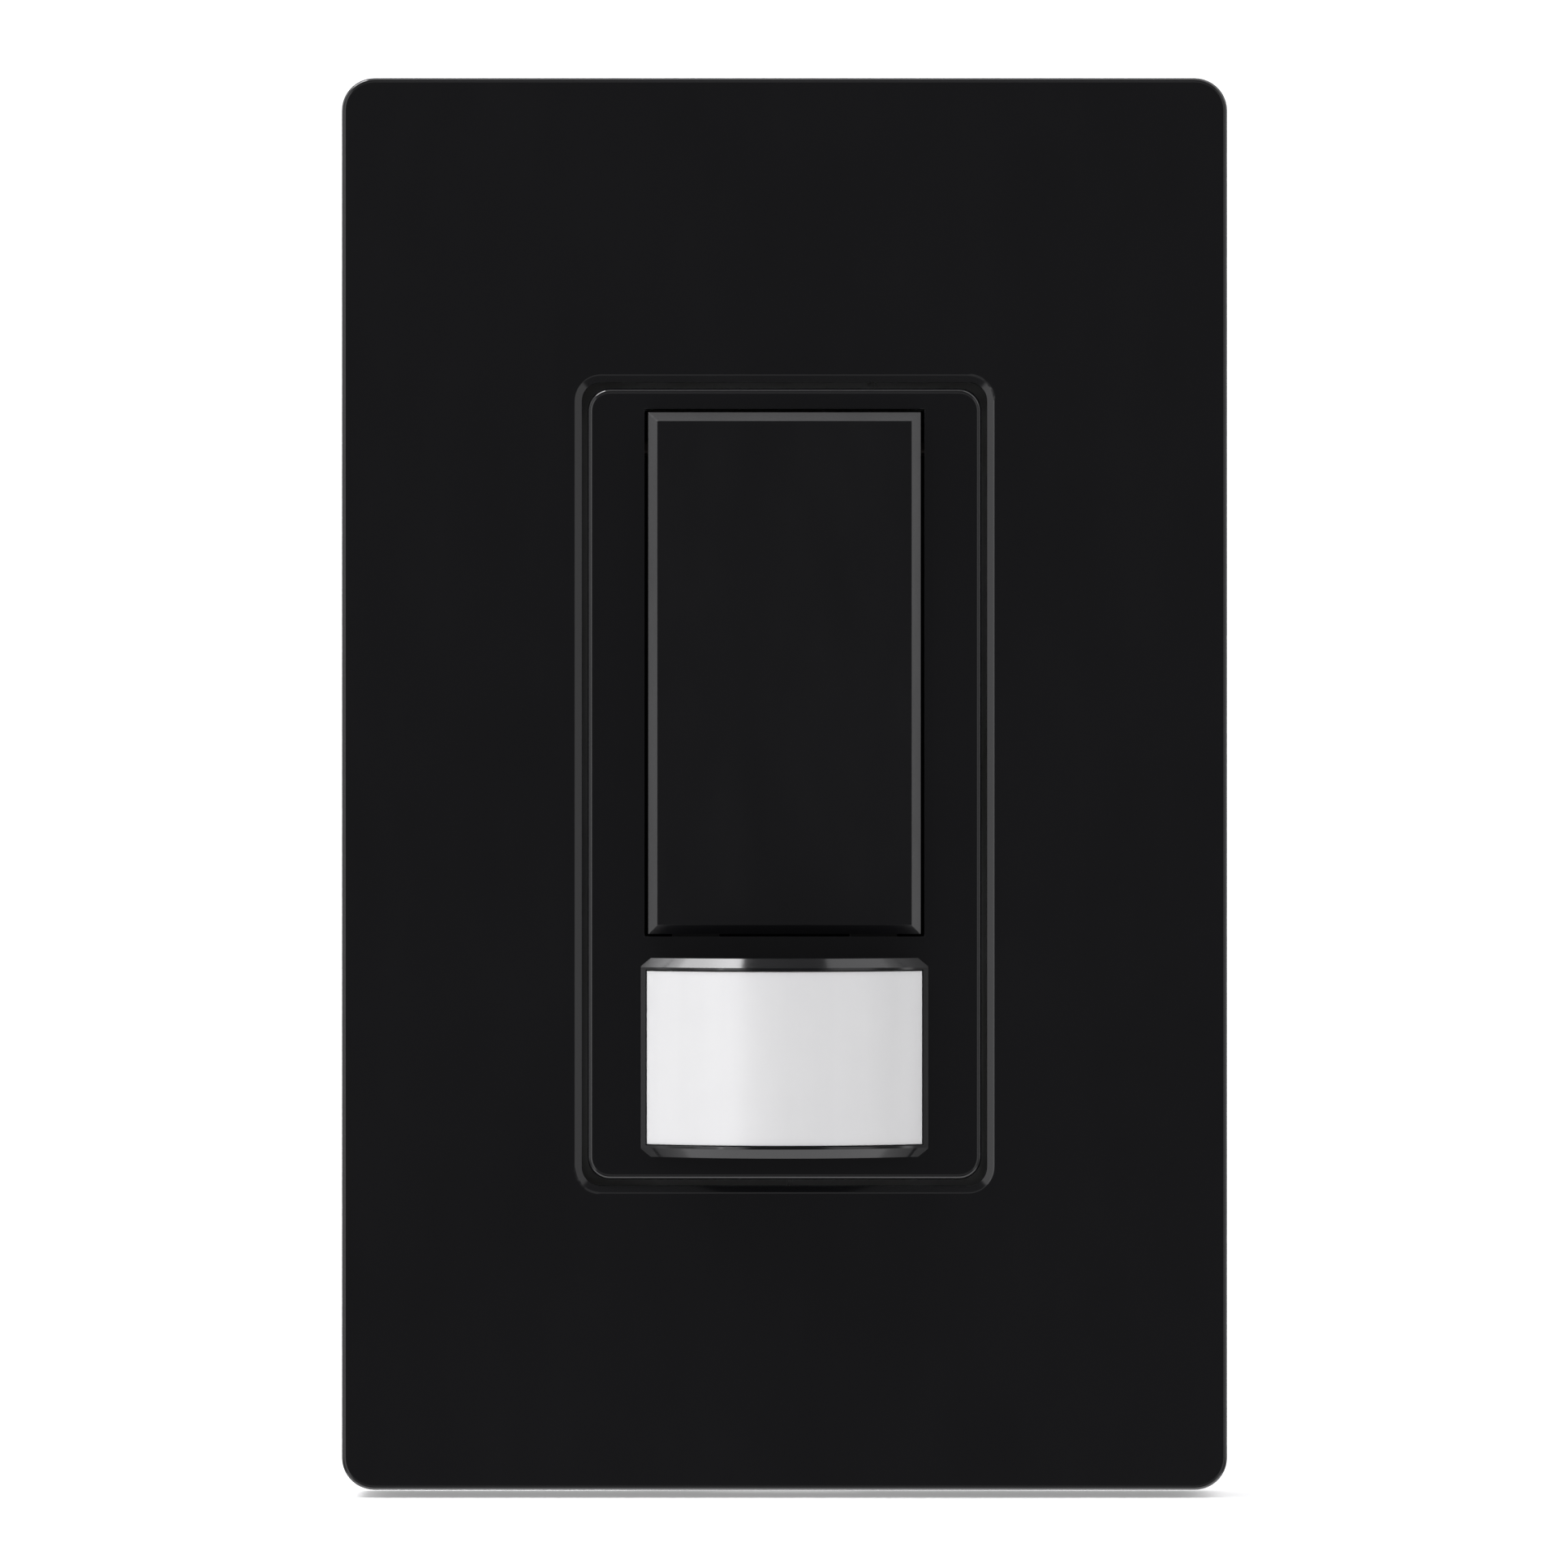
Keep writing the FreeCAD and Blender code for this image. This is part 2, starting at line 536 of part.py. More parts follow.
def make_ground_screw():
    """Lies along X, its head left of the yoke tab."""
    body = new_body("ground_screw", y=dim.ground_y, z=-dim.ground_z)
    seat = -(dim.yoke_end_w / 2)
    top, end = seat - dim.ground_head_t, seat + dim.ground_len
    head, thread = dim.ground_head_r, dim.ground_r
    turned(body, [
        (top, 0), (top, head * 0.7), (top + 0.5, head * 0.8), (seat - 0.7, head * 0.8),
        (seat - 0.7, head), (seat - dim.gap, head), (seat - dim.gap, thread),
        (end - 0.8, thread), (end, thread - 0.7), (end, 0)], role="XY_Plane")
    cut(body, RIGHT, top - 0.5, dim.slot_deep + 0.5, [rect(0, 0, head + 1, dim.slot_w / 2)])


# -------------------------------------------------- bezel, lens and paddle
WEB_BACK = -(dim.bezel_front - dim.bezel_web)
# the bow of the hood, seen from above
HOOD_HALF = dim.hood_w / 2
HOOD_TIP = dim.bezel_front + dim.hood_flank + dim.hood_sag
BOW_R = (HOOD_HALF * HOOD_HALF + dim.hood_sag * dim.hood_sag) / (2 * dim.hood_sag)
BOW_Y = -HOOD_TIP + BOW_R


def bowed(half, radius, back):
    """A D-shaped outline in the XY plane: flat back, short flanks and a bowed front."""
    flank = BOW_Y - root(radius * radius - half * half)
    return [(half, back), (half, flank, 0, BOW_Y, False), (-half, flank), (-half, back)]


def make_bezel():
    body = new_body("bezel")
    half_w, half_h = dim.bezel_w / 2, dim.bezel_height / 2
    front = -dim.bezel_front
    pad(body, FRONT, -dim.yoke_t, dim.bezel_front - dim.yoke_t, [rect(0, 0, half_w, half_h)])
    round_corners(body, dim.bezel_corner, half_w, half_h)
    blend_plane(body, "Fillet", dim.bezel_edge, front)
    inner_w, inner_h = half_w - dim.bezel_wall, half_h - dim.bezel_wall
    cut(body, BACK, WEB_BACK, dim.bezel_front, [rect(0, 0, inner_w, inner_h)])
    # sensor hood: bowed prism on the lower part of the face, bevelled at both ends
    low = -(dim.sensor_z + dim.hood_height / 2)
    high = low + dim.hood_height
    pad(body, UP, low, dim.hood_height, [bowed(HOOD_HALF, BOW_R, front + 0.8)])

    def hood_end(edge):
        bounds = edge.BoundBox
        return (min(abs(bounds.ZMin - low.value), abs(bounds.ZMin - high.value)) < 1e-3
                and bounds.ZLength < 1e-3 and bounds.YMin < front.value - 1
                and bounds.XLength > 10)

    blend(body, "Chamfer", dim.hood_bevel_y, hood_end, dim.hood_bevel)
    # paddle well
    well = dim.well_w / 2
    through(body, front, WEB_BACK, [box(-well, -dim.well_bottom, well, dim.well_top)])
    # lens window
    cut(body, BACK, -HOOD_TIP - 1, dim.hood_sag + dim.bezel_web + 3, [
        rect(0, -dim.sensor_z, dim.lens_w / 2 + dim.lens_fit, dim.lens_height / 2 + dim.lens_fit)])
    # hinge bosses behind the face, beside the paddle; the bore is open on the right
    root_y = WEB_BACK - 0.3
    for side in SIDES:
        pad(body, BACK, root_y, -dim.boss_y - root_y, [
            box(side * dim.boss_in, dim.pin_z - dim.boss_half,
                side * (inner_w + 0.2), dim.pin_z + dim.boss_half)])
    cut(body, RIGHT, -(dim.pin_half + dim.pin_play), dim.pin_half + half_w + 2, [
        (-dim.pin_y, dim.pin_z, dim.pin_boss_r)])
    # snap legs that hook behind the yoke
    outer = dim.yoke_win_w / 2 - dim.leg_fit
    inner = outer - dim.leg_t
    for side in SIDES:
        for z in (-dim.leg_z, dim.leg_z):
            low_z, high_z = z - dim.leg_w / 2, z + dim.leg_w / 2
            pad(body, BACK, root_y, dim.leg_end - root_y, [
                box(side * inner, low_z, side * outer, high_z)])
            pad(body, BACK, dim.gap, dim.leg_end - dim.gap, [
                box(side * inner, low_z, side * (outer + dim.hook), high_z)])


def make_lens():
    """A hollow shell that follows the hood's bow, set in by a hair."""
    body = new_body("fresnel_lens")
    half, half_h = dim.lens_w / 2, dim.lens_height / 2
    inner = half - dim.lens_t
    outer_r = BOW_R - dim.lens_inset
    low = -(dim.sensor_z + half_h)
    pad(body, UP, low, dim.lens_height, [bowed(half, outer_r, -dim.lens_back)])
    cut(body, DOWN, low + dim.lens_height - dim.lens_t, dim.lens_height - 2 * dim.lens_t, [
        bowed(inner, outer_r - dim.lens_t, -dim.lens_back + 1)])
    # retaining flange behind the face
    pad(body, FRONT, -dim.lens_back, dim.flange_t, [
        rect(0, -dim.sensor_z, half + dim.flange_side, half_h + dim.flange),
        rect(0, -dim.sensor_z, inner, half_h - dim.lens_t)])


def make_paddle():
    body = new_body("paddle")
    half = dim.paddle_w / 2
    pad(body, FRONT, -dim.paddle_back, dim.paddle_front - dim.paddle_back, [
        box(-half, -dim.paddle_bottom, half, dim.paddle_top)])
    blend_plane(body, "Chamfer", dim.paddle_bevel, -dim.paddle_front)
    inner, floor_z = half - dim.paddle_wall, -dim.paddle_bottom + dim.paddle_wall
    skin = -(dim.paddle_front - dim.paddle_skin)
    cut(body, BACK, skin, dim.paddle_front, [
        box(-inner, floor_z, inner, dim.paddle_top - dim.paddle_wall)])
    # hinge ears
    root_y = skin - 0.2
    for side in SIDES:
        pad(body, BACK, root_y, -dim.ear_y - root_y, [
            box(side * dim.ear_x0, dim.pin_z - dim.ear_half,
                side * (inner + 0.2), dim.pin_z + dim.ear_half)])
    # press rib with a rounded tip
    nose, rib = -dim.rib_tip - dim.rib_r, dim.rib_r
    pad(body, RIGHT, -dim.rib_half, dim.rib_half * 2, [[
        (root_y, -dim.tap_z + rib), (root_y, -dim.tap_z - rib),
        (nose, -dim.tap_z - rib, nose, -dim.tap_z, True), (nose, -dim.tap_z + rib)]])
    # spring spigots
    pad(body, BACK, root_y, dim.spring_post_len + 0.2, [
        (side * dim.spring_x, -dim.tap_z, dim.spring_post_r) for side in SIDES])
    # rest-stop tabs that sit behind the bezel face
    stop = dim.stop_w / 2
    pad(body, FRONT, WEB_BACK + dim.stop_gap + dim.stop_t, dim.stop_t, [
        box(x - stop, -dim.stop_z, x + stop, floor_z) for x in (-dim.stop_x, dim.stop_x)])
    # stiffening ribs inside the skin
    pad(body, BACK, root_y, dim.skin_rib_deep, [
        rect(0, z, inner + 0.1, dim.skin_rib_t / 2) for z in (dim.skin_rib_low, dim.skin_rib_high)])
    # hinge bore
    cut(body, RIGHT, -half - 1, dim.paddle_w + 2, [(-dim.pin_y, dim.pin_z, dim.pin_ear_r)])


def make_hinge_pin():
    body = new_body("hinge_pin")
    pad(body, RIGHT, -dim.pin_half, dim.pin_half * 2, [(-dim.pin_y, dim.pin_z, dim.pin_r)])
    blend(body, "Chamfer", dim.pin_bevel, lambda edge: edge.BoundBox.XLength < 1e-4)


def make_paddle_springs():
    """Two light compression springs between paddle and tray."""
    body = new_body(
        "paddle_springs", x=-dim.spring_x, y=-dim.tray_front - dim.gap, z=-dim.tap_z)
    wire = dim.spring_wire
    sketch = new_sketch(body, "XY_Plane", 0, [(dim.spring_r, -wire * 1.3, wire)])
    helix = body.newObject("PartDesign::AdditiveHelix", "coil")
    helix.Profile = sketch
    helix.ReferenceAxis = (sketch, ["V_Axis"])
    helix.Mode = 0  # driven by pitch and height
    helix.setExpression("Pitch", dim.spring_pitch.text)
    height = dim.paddle_front - dim.paddle_skin - dim.tray_front - wire * 3.2
    helix.setExpression("Height", height.text)
    helix.Reversed = True
    row_of(body, [helix], "X_Axis", 2, dim.spring_x * 2)


# ------------------------------------------------------------ tray and board
FOOT_Z = (-11.0, 8.0, 28.5)
# small holes in the control board
HOLE_X = (-10.6, -9.4, 9.4, 10.6)
HOLE_Z = (-2.0, 2.0)
HOLE_R = 0.5


def make_tray():
    body = new_body("insulating_tray")
    half, notch, top, bottom = dim.tray_w / 2, dim.tray_notch_x, dim.tray_top, dim.tray_bottom
    low, high = dim.leg_z - dim.tray_notch_w / 2, dim.leg_z + dim.tray_notch_w / 2
    pad(body, FRONT, dim.tray_back, dim.tray_front + dim.tray_back, [[
        (-half, -bottom), (half, -bottom), (half, low), (notch, low), (notch, high), (half, high),
        (half, top), (-half, top), (-half, high), (-notch, high), (-notch, low), (-half, low)]])
    hole = dim.tray_hole / 2
    through(body, -dim.tray_front, dim.tray_back, [rect(0, -dim.tap_z, hole, hole)])
    # spring spigots
    root_y = -dim.tray_front + 0.2
    pad(body, FRONT, root_y, dim.spring_post_len + 0.2, [
        (side * dim.spring_x, -dim.tap_z, dim.spring_post_r) for side in SIDES])
    # feet on the control board
    foot_y = dim.tray_back - 0.2
    pad(body, BACK, foot_y, dim.board_y - dim.gap - foot_y, [
        (side * dim.foot_x, z, dim.foot_r) for side in SIDES for z in FOOT_Z])
    # stiffening bars along the top and bottom edges
    bar = half - dim.bar_inset
    pad(body, FRONT, root_y, dim.bar_t, [
        box(-bar, top - dim.bar_w, bar, top), box(-bar, -bottom, bar, -bottom + dim.bar_w)])


def make_control_board():
    body = new_body("control_board")
    half_w, half_h = dim.board_w / 2, dim.board_height / 2
    pad(body, FRONT, dim.board_y + dim.board_t, dim.board_t, [rect(0, 0, half_w, half_h)])
    round_corners(body, dim.board_corner, half_w, half_h)
    through(body, dim.board_y, dim.board_y + dim.board_t, [
        (x, z, HOLE_R) for x in HOLE_X for z in HOLE_Z])


# ---------------------------------------- tap switch and sensor on the board
BOARD_SEAT = dim.board_y - dim.gap


def make_tact_base():
    body = new_body("tap_switch_base")
    half = dim.tact_w / 2
    pad(body, FRONT, BOARD_SEAT, BOARD_SEAT + dim.tact_front, [rect(0, -dim.tap_z, half, half)])
    blend(body, "Fillet", dim.tact_corner, along_y)
    cut(body, BACK, -dim.tact_front - 1, dim.tact_front + 1 + dim.tact_floor, [
        (0, -dim.tap_z, dim.tact_bore)])


def make_tact_cover():
    body = new_body("tap_switch_cover")
    half, sheet_t = dim.tact_w / 2, dim.tact_cover
    back, low, high = -dim.tact_front - 0.01, -dim.tap_z - dim.cover_leg_half, \
        -dim.tap_z + dim.cover_leg_half
    pad(body, FRONT, back, sheet_t, [
        rect(0, -dim.tap_z, half, half), (0, -dim.tap_z, dim.cover_bore)])
    # two folded legs down the sides
    inner = half + dim.gap
    outer = inner + sheet_t
    for side in SIDES:
        pad(body, FRONT, BOARD_SEAT, BOARD_SEAT - back + sheet_t, [
            box(side * inner, low, side * outer, high)])
        pad(body, FRONT, back, sheet_t, [
            box(side * (half - dim.cover_lap), low, side * outer, high)])


def make_tact_plunger():
    body = new_body("tap_switch_plunger", z=-dim.tap_z)
    front = -dim.tact_front + 0.05
    back = front + dim.plunger_flange_t
    turned(body, [
        (-dim.plunger_top, 0), (-dim.plunger_top, dim.plunger_r), (front, dim.plunger_r),
        (front, dim.plunger_flange_r), (back, dim.plunger_flange_r), (back, 0)])


def make_tact_dome():
    """A shallow dished disc: outer and inner arcs about one centre on the axis."""
    body = new_body("tap_switch_dome", z=-dim.tap_z)
    base = dim.tact_floor - dim.gap
    outer_r = (dim.dome_r * dim.dome_r + dim.dome_rise * dim.dome_rise) / (2 * dim.dome_rise)
    centre = base - dim.dome_rise + outer_r
    inner_r = outer_r - dim.dome_t
    inner_half = root(inner_r * inner_r - (centre - base) * (centre - base))
    turned(body, [
        (base, dim.dome_r, centre, 0, True), (centre - outer_r, 0),
        (centre - inner_r, 0, centre, 0, False), (base, inner_half)])


def make_shroud():
    body = new_body("sensor_shroud")
    half_w, half_h, z = dim.shroud_w / 2, dim.shroud_height / 2, -dim.sensor_z
    inner_w, inner_h = half_w - dim.shroud_wall, half_h - dim.shroud_wall
    pad(body, FRONT, BOARD_SEAT, BOARD_SEAT + dim.lens_back - dim.gap, [
        rect(0, z, half_w, half_h), rect(0, z, inner_w, inner_h)])
    # baffle plate with openings for the detector and the two small sensors
    pad(body, FRONT, dim.baffle_y, dim.baffle_t, [
        rect(0, z, inner_w + 0.1, inner_h + 0.1), (0, z, dim.pir_flange_r + 0.2),
        (dim.led_x, z, dim.led_r + 0.5), (-dim.led_x, z, dim.led_r + 0.5)])


def make_pir():
    body = new_body("pir_detector", z=-dim.sensor_z)
    front, radius = -dim.pir_front, dim.pir_r
    turned(body, [
        (BOARD_SEAT, 0), (BOARD_SEAT, dim.pir_flange_r), (BOARD_SEAT - 0.4, dim.pir_flange_r),
        (BOARD_SEAT - 0.4, radius), (front + 0.3, radius), (front, radius - 0.3), (front, 0)])
    cut(body, BACK, front - 0.5, 0.5 + 0.35, [
        rect(0, 0, dim.pir_win_w / 2, dim.pir_win_height / 2)])


def make_pir_window():
    body = new_body("pir_window", z=-dim.sensor_z)
    pad(body, FRONT, -dim.pir_front + 0.33, 0.3, [
        rect(0, 0, dim.pir_win_w / 2 - dim.gap, dim.pir_win_height / 2 - dim.gap)])


def make_round_top(name, x):
    """A small round-nosed part on a flange."""
    body = new_body(name, x=x, z=-dim.sensor_z)
    radius, flange_r = dim.led_r, dim.led_r + dim.led_flange
    shoulder, nose = BOARD_SEAT - dim.led_flange_t, -dim.led_front + dim.led_r
    turned(body, [
        (BOARD_SEAT, 0), (BOARD_SEAT, flange_r), (shoulder, flange_r), (shoulder, radius),
        (nose, radius, nose, 0, True), (-dim.led_front, 0)])


# -------------------------------------------------------------- back housing
# terminal recesses: side (1 right, -1 left) and z
TERMINAL_PLACES = ((1, dim.term_z), (1, -dim.term_z), (-1, 0))


def make_back_housing():
    body = new_body("back_housing")
    half_w, half_h, back = dim.house_w / 2, dim.house_height / 2, dim.house_back
    pad(body, FRONT, back, back - dim.gap, [rect(0, 0, half_w, half_h)])
    round_corners(body, dim.house_corner, half_w, half_h)
    blend_plane(body, "Fillet", dim.house_edge, back)
    inner_w, inner_h = half_w - dim.house_wall, half_h - dim.house_wall
    inner_back = back - dim.house_floor
    cut(body, BACK, -1, inner_back + 1, [rect(0, 0, inner_w, inner_h)])
    # full-depth corner bosses
    boss_x, boss_z = dim.house_boss_x - dim.house_boss_r, dim.house_boss_z - dim.house_boss_r
    root_y = inner_back + 0.5
    pad(body, FRONT, root_y, root_y - dim.gap, [
        box(side_x * boss_x, side_z * boss_z, side_x * (inner_w + 0.3), side_z * (inner_h + 0.3))
        for side_x in SIDES for side_z in SIDES])
    # terminal blocks, then the recess and solder tail slot in each
    half_y, half_z = dim.term_half_y + dim.term_rim, dim.term_half_z + dim.term_rim
    block_end = dim.term_y + half_y
    for side, z in TERMINAL_PLACES:
        pad(body, FRONT, block_end, half_y * 2, [
            box(side * dim.term_block, z - half_z, side * (inner_w + 0.3), z + half_z)])
    half_z, slot_half = dim.term_half_z, dim.tail_slot_half
    for side, z in TERMINAL_PLACES:
        cut(body, BACK, dim.term_y - dim.term_half_y, dim.term_half_y * 2, [
            box(side * dim.term_floor, z - half_z, side * (half_w + 1), z + half_z)])
        cut(body, BACK, dim.term_y + dim.term_half_y - 0.5, dim.term_rim + 1, [
            box(side * (dim.term_floor - 0.1), z - slot_half,
                side * (dim.term_floor + dim.term_plate_t + 0.1), z + slot_half)])
    # bores for the terminal screw tips
    bore_r, bore_len = dim.term_screw_r + dim.term_hole_fit, half_w + 1 - dim.term_block + 1
    cut(body, LEFT, half_w + 1, bore_len, [
        (dim.term_y, side * dim.term_z, bore_r) for side in SIDES])
    cut(body, RIGHT, -half_w - 1, bore_len, [(dim.term_y, 0, bore_r)])
    # board stand-offs
    pad(body, FRONT, root_y, root_y - dim.power_y - dim.power_t - dim.gap, [
        (x, z, dim.stand_r) for x, z in mirrored(dim.stand_x, dim.stand_z)])
    # screw holes with counterbores
    places = mirrored(dim.house_boss_x, dim.house_boss_z)
    through(body, 0, back, [(x, z, dim.house_hole_r) for x, z in places])
    cut(body, FRONT, back + 1, dim.house_bore_deep + 1, [
        (x, z, dim.house_bore_r) for x, z in places])
    # rear face: plain recessed panel, strip-length groove and blind wire-release holes
    cut(body, FRONT, back + 0.5, 0.5 + dim.panel_deep, [
        rect(0, 0, dim.panel_w / 2, dim.panel_height / 2),
        rect(0, -dim.gauge_z, dim.gauge_half, dim.gauge_w / 2)])
    cut(body, FRONT, back + 0.5, 0.5 + dim.release_deep, [
        (side * dim.release_x, z + step, dim.release_r)
        for side, z in TERMINAL_PLACES for step in (-dim.release_dz, dim.release_dz)])


def make_housing_screws():
    body = new_body("housing_screws", x=-dim.house_boss_x, z=-dim.house_boss_z)
    seat = dim.house_back - dim.house_bore_deep + dim.gap
    tip, top = -dim.yoke_t + 0.1, seat + dim.house_head_t
    thread, head = dim.house_screw_r, dim.house_head_r
    screw = turned(body, [
        (tip, 0), (tip, thread - 0.3), (tip + 0.3, thread), (seat, thread), (seat, head),
        (seat + dim.house_head_t * 0.6, head), (top, head * 0.7), (top, 0)])
    recess = cut(body, FRONT, top + 0.5, 0.5 + 0.9, [cross(0.7, 2.4)])
    row_of(body, [screw, recess], "X_Axis", 2, dim.house_boss_x * 2,
           second=("Z_Axis", 2, dim.house_boss_z * 2))


# --------------------------------------------------------------- power board
POWER_SEAT = dim.power_y - dim.gap
# x, z of the relay pins from the relay's centre
RELAY_PINS = ((-7.6, -5.0), (-7.6, 5.0), (7.0, -3.0), (7.0, 3.0))
RELAY_PIN_PLACES = [(dim.relay_x + x, dim.relay_z + z) for x, z in RELAY_PINS]
LINK_X = [dim.link_pitch * (i - 2.5) for i in range(6)]
FUSE_REACH = dim.fuse_len / 2 + dim.fuse_lead


def make_power_board():
    body = new_body("power_board")
    wide, end = dim.power_w / 2, dim.power_end_w / 2
    mid, tip = dim.power_mid_half, dim.power_height / 2
    back = dim.power_y + dim.power_t
    pad(body, FRONT, back, dim.power_t, [[
        (-end, -tip), (end, -tip), (end, -mid), (wide, -mid), (wide, mid), (end, mid),
        (end, tip), (-end, tip), (-end, mid), (-wide, mid), (-wide, -mid), (-end, -mid)]])
    # solder holes for the relay, the link pins, the varistor and the fuse resistor
    for holes in (
        [(x, z, 0.6) for x, z in RELAY_PIN_PLACES],
        [(x, dim.header_z, 0.5) for x in LINK_X],
        [(dim.varistor_x + side * dim.varistor_lead_x, dim.varistor_z, 0.42) for side in SIDES],
        [(dim.fuse_x + side * FUSE_REACH, dim.fuse_z, 0.45) for side in SIDES],
    ):
        through(body, dim.power_y, back, holes)


# ----------------------------------------------------------------- terminals
# Drawn on the right; half a turn about Z makes the left set and puts y to -y,
# so that set is drawn with y negated. Columns: prefix, turn, number, z, sign of y.
HOT = ("hot", None, 2, -dim.term_z, 1)
NEUTRAL = ("neutral", 180, 1, 0, -1)
PLATE_X = dim.term_floor + dim.gap
CLAMP_X = PLATE_X + dim.term_plate_t + dim.gap
HEAD_X = CLAMP_X + dim.clamp_t + dim.gap


def terminal_body(group, piece, y=None):
    prefix, turn, number, z, _ = group
    plural = "s" if number > 1 else ""
    return new_body(f"{prefix}_{piece}{plural}", y=y, z=z, turn=turn)


def repeat_terminal(body, group, features):
    number = group[2]
    if number > 1:
        row_of(body, features, "Z_Axis", number, dim.term_z * 2)


def make_terminal_plate(group):
    """Plate with a solder tail."""
    body = terminal_body(group, "terminal_plate")
    sign = group[-1]
    front, back = dim.term_y - dim.term_half_y + 0.2, dim.term_y + dim.term_half_y - 0.1
    half = dim.term_half_z - 0.3
    plate = pad(body, RIGHT, PLATE_X, dim.term_plate_t, [
        box(sign * front, -half, sign * back, half),
        (sign * dim.term_y, 0, dim.term_screw_r + dim.gap)])
    end = dim.power_y + dim.power_t + 0.8
    tail = pad(body, RIGHT, PLATE_X, dim.term_plate_t, [
        box(sign * (back - 0.5), -dim.tail_half, sign * end, dim.tail_half)])
    repeat_terminal(body, group, [plate, tail])


def make_clamp_plate(group):
    body = terminal_body(group, "clamp_plate")
    half, y = dim.clamp_w / 2, group[-1] * dim.term_y
    clamp = pad(body, RIGHT, CLAMP_X, dim.clamp_t, [
        rect(y, 0, half, half), (y, 0, dim.term_screw_r + 0.15)])
    # shallow wire grooves across the gripping side
    mouth, floor = CLAMP_X - 0.1, CLAMP_X + 0.3
    grooves = cut(body, DOWN, 6.0, 12.0, [
        [(mouth, centre - 0.5), (floor, centre - 0.2), (floor, centre + 0.2), (mouth, centre + 0.5)]
        for centre in (y - dim.groove_step, y + dim.groove_step)])
    repeat_terminal(body, group, [clamp, grooves])


def make_terminal_screw(group):
    body = terminal_body(group, "terminal_screw", y=dim.term_y)
    tip, thread, head = dim.term_tip, dim.term_screw_r, dim.term_head_r
    top = HEAD_X + dim.term_head_t
    screw = turned(body, [
        (tip, 0), (tip, thread - 0.7), (tip + 0.8, thread), (HEAD_X, thread), (HEAD_X, head),
        (HEAD_X + dim.term_head_t * 0.55, head), (top, head * 0.72), (top, 0)], role="XY_Plane")
    recess = cut(body, LEFT, top + 0.5, 0.5 + dim.slot_deep, [cross(dim.slot_w, head * 1.15)])
    repeat_terminal(body, group, [screw, recess])


# --------------------------------------------------------------------- relay
BASE_TOP = POWER_SEAT - dim.relay_base_t - dim.gap  # just in front of the base
LEG_X = dim.armature_x - dim.frame_t / 2  # outer side of the frame's leg
CORE_FOOT = BASE_TOP - 1.02
CORE_TIP = dim.armature_y + 0.8
BOBBIN_BACK = CORE_FOOT - dim.gap
BOBBIN_FRONT = CORE_TIP + 0.75
BLADE_Y = dim.armature_y - dim.armature_t / 2 - dim.gap  # back of the contact blade


def make_relay_base():
    body = new_body("relay_base")
    inset = dim.relay_wall + 0.05
    pad(body, FRONT, POWER_SEAT, dim.relay_base_t, [
        rect(dim.relay_x, dim.relay_z, dim.relay_w / 2 - inset, dim.relay_deep / 2 - inset)])


def make_relay_case():
    body = new_body("relay_case")
    half_w, half_h, wall = dim.relay_w / 2, dim.relay_deep / 2, dim.relay_wall
    pad(body, FRONT, POWER_SEAT, dim.relay_height, [rect(dim.relay_x, dim.relay_z, half_w, half_h)])
    round_all_but(body, 0.6, POWER_SEAT)
    cut(body, BACK, POWER_SEAT - dim.relay_height + wall, dim.relay_height, [
        rect(dim.relay_x, dim.relay_z, half_w - wall, half_h - wall)])


def make_relay_yoke():
    """L-shaped frame: foot under the bobbin and an upright leg that carries the armature."""
    body = new_body("relay_yoke")
    front, foot, foot_end = dim.armature_y + 0.5, BASE_TOP - 1.0, dim.coil_x + 4.4
    inner = LEG_X + dim.frame_t
    pad(body, UP, dim.relay_z - dim.armature_w / 2, dim.armature_w, [[
        (LEG_X, BASE_TOP), (LEG_X, front), (inner, front), (inner, foot),
        (foot_end, foot), (foot_end, BASE_TOP)]])


def make_relay_core():
    body = new_body("relay_core", x=dim.coil_x, z=dim.relay_z)
    cap, cap_r = CORE_TIP + 0.7, dim.core_r + 1.0
    turned(body, [(CORE_FOOT, 0), (CORE_FOOT, dim.core_r), (cap, dim.core_r), (cap, cap_r),
                  (CORE_TIP, cap_r), (CORE_TIP, 0)])


def make_relay_bobbin():
    body = new_body("relay_bobbin", x=dim.coil_x, z=dim.relay_z)
    half, bore = dim.bobbin_flange / 2, (0, 0, dim.core_r + 0.05)
    for back in (BOBBIN_BACK, BOBBIN_FRONT + dim.bobbin_t):
        pad(body, FRONT, back, dim.bobbin_t, [rect(0, 0, half, half), bore])
    pad(body, FRONT, BOBBIN_BACK - 0.7, BOBBIN_BACK - BOBBIN_FRONT - 1.4, [
        (0, 0, dim.core_r + 0.65), bore])


def make_relay_winding():
    body = new_body("relay_winding", x=dim.coil_x, z=dim.relay_z)
    pad(body, FRONT, BOBBIN_BACK - 0.85, BOBBIN_BACK - BOBBIN_FRONT - 1.7, [
        (0, 0, dim.coil_r), (0, 0, dim.core_r + 0.7)])
    width = 2 * dim.coil_r.value
    blend(body, "Fillet", 0.35, lambda edge: abs(edge.BoundBox.XLength - width) < 0.01)


def make_relay_armature():
    """Plate with a rounded hinge edge over the frame's leg."""
    body = new_body("relay_armature")
    x, y, half, end = dim.armature_x, dim.armature_y, dim.armature_t / 2, dim.coil_x + 3.6
    # the half-round edge bulges to the right, inside the plate
    pad(body, UP, dim.relay_z - dim.armature_w / 2, dim.armature_w, [[
        (x, y + half, x, y, True), (x, y - half), (end, y - half), (end, y + half)]])


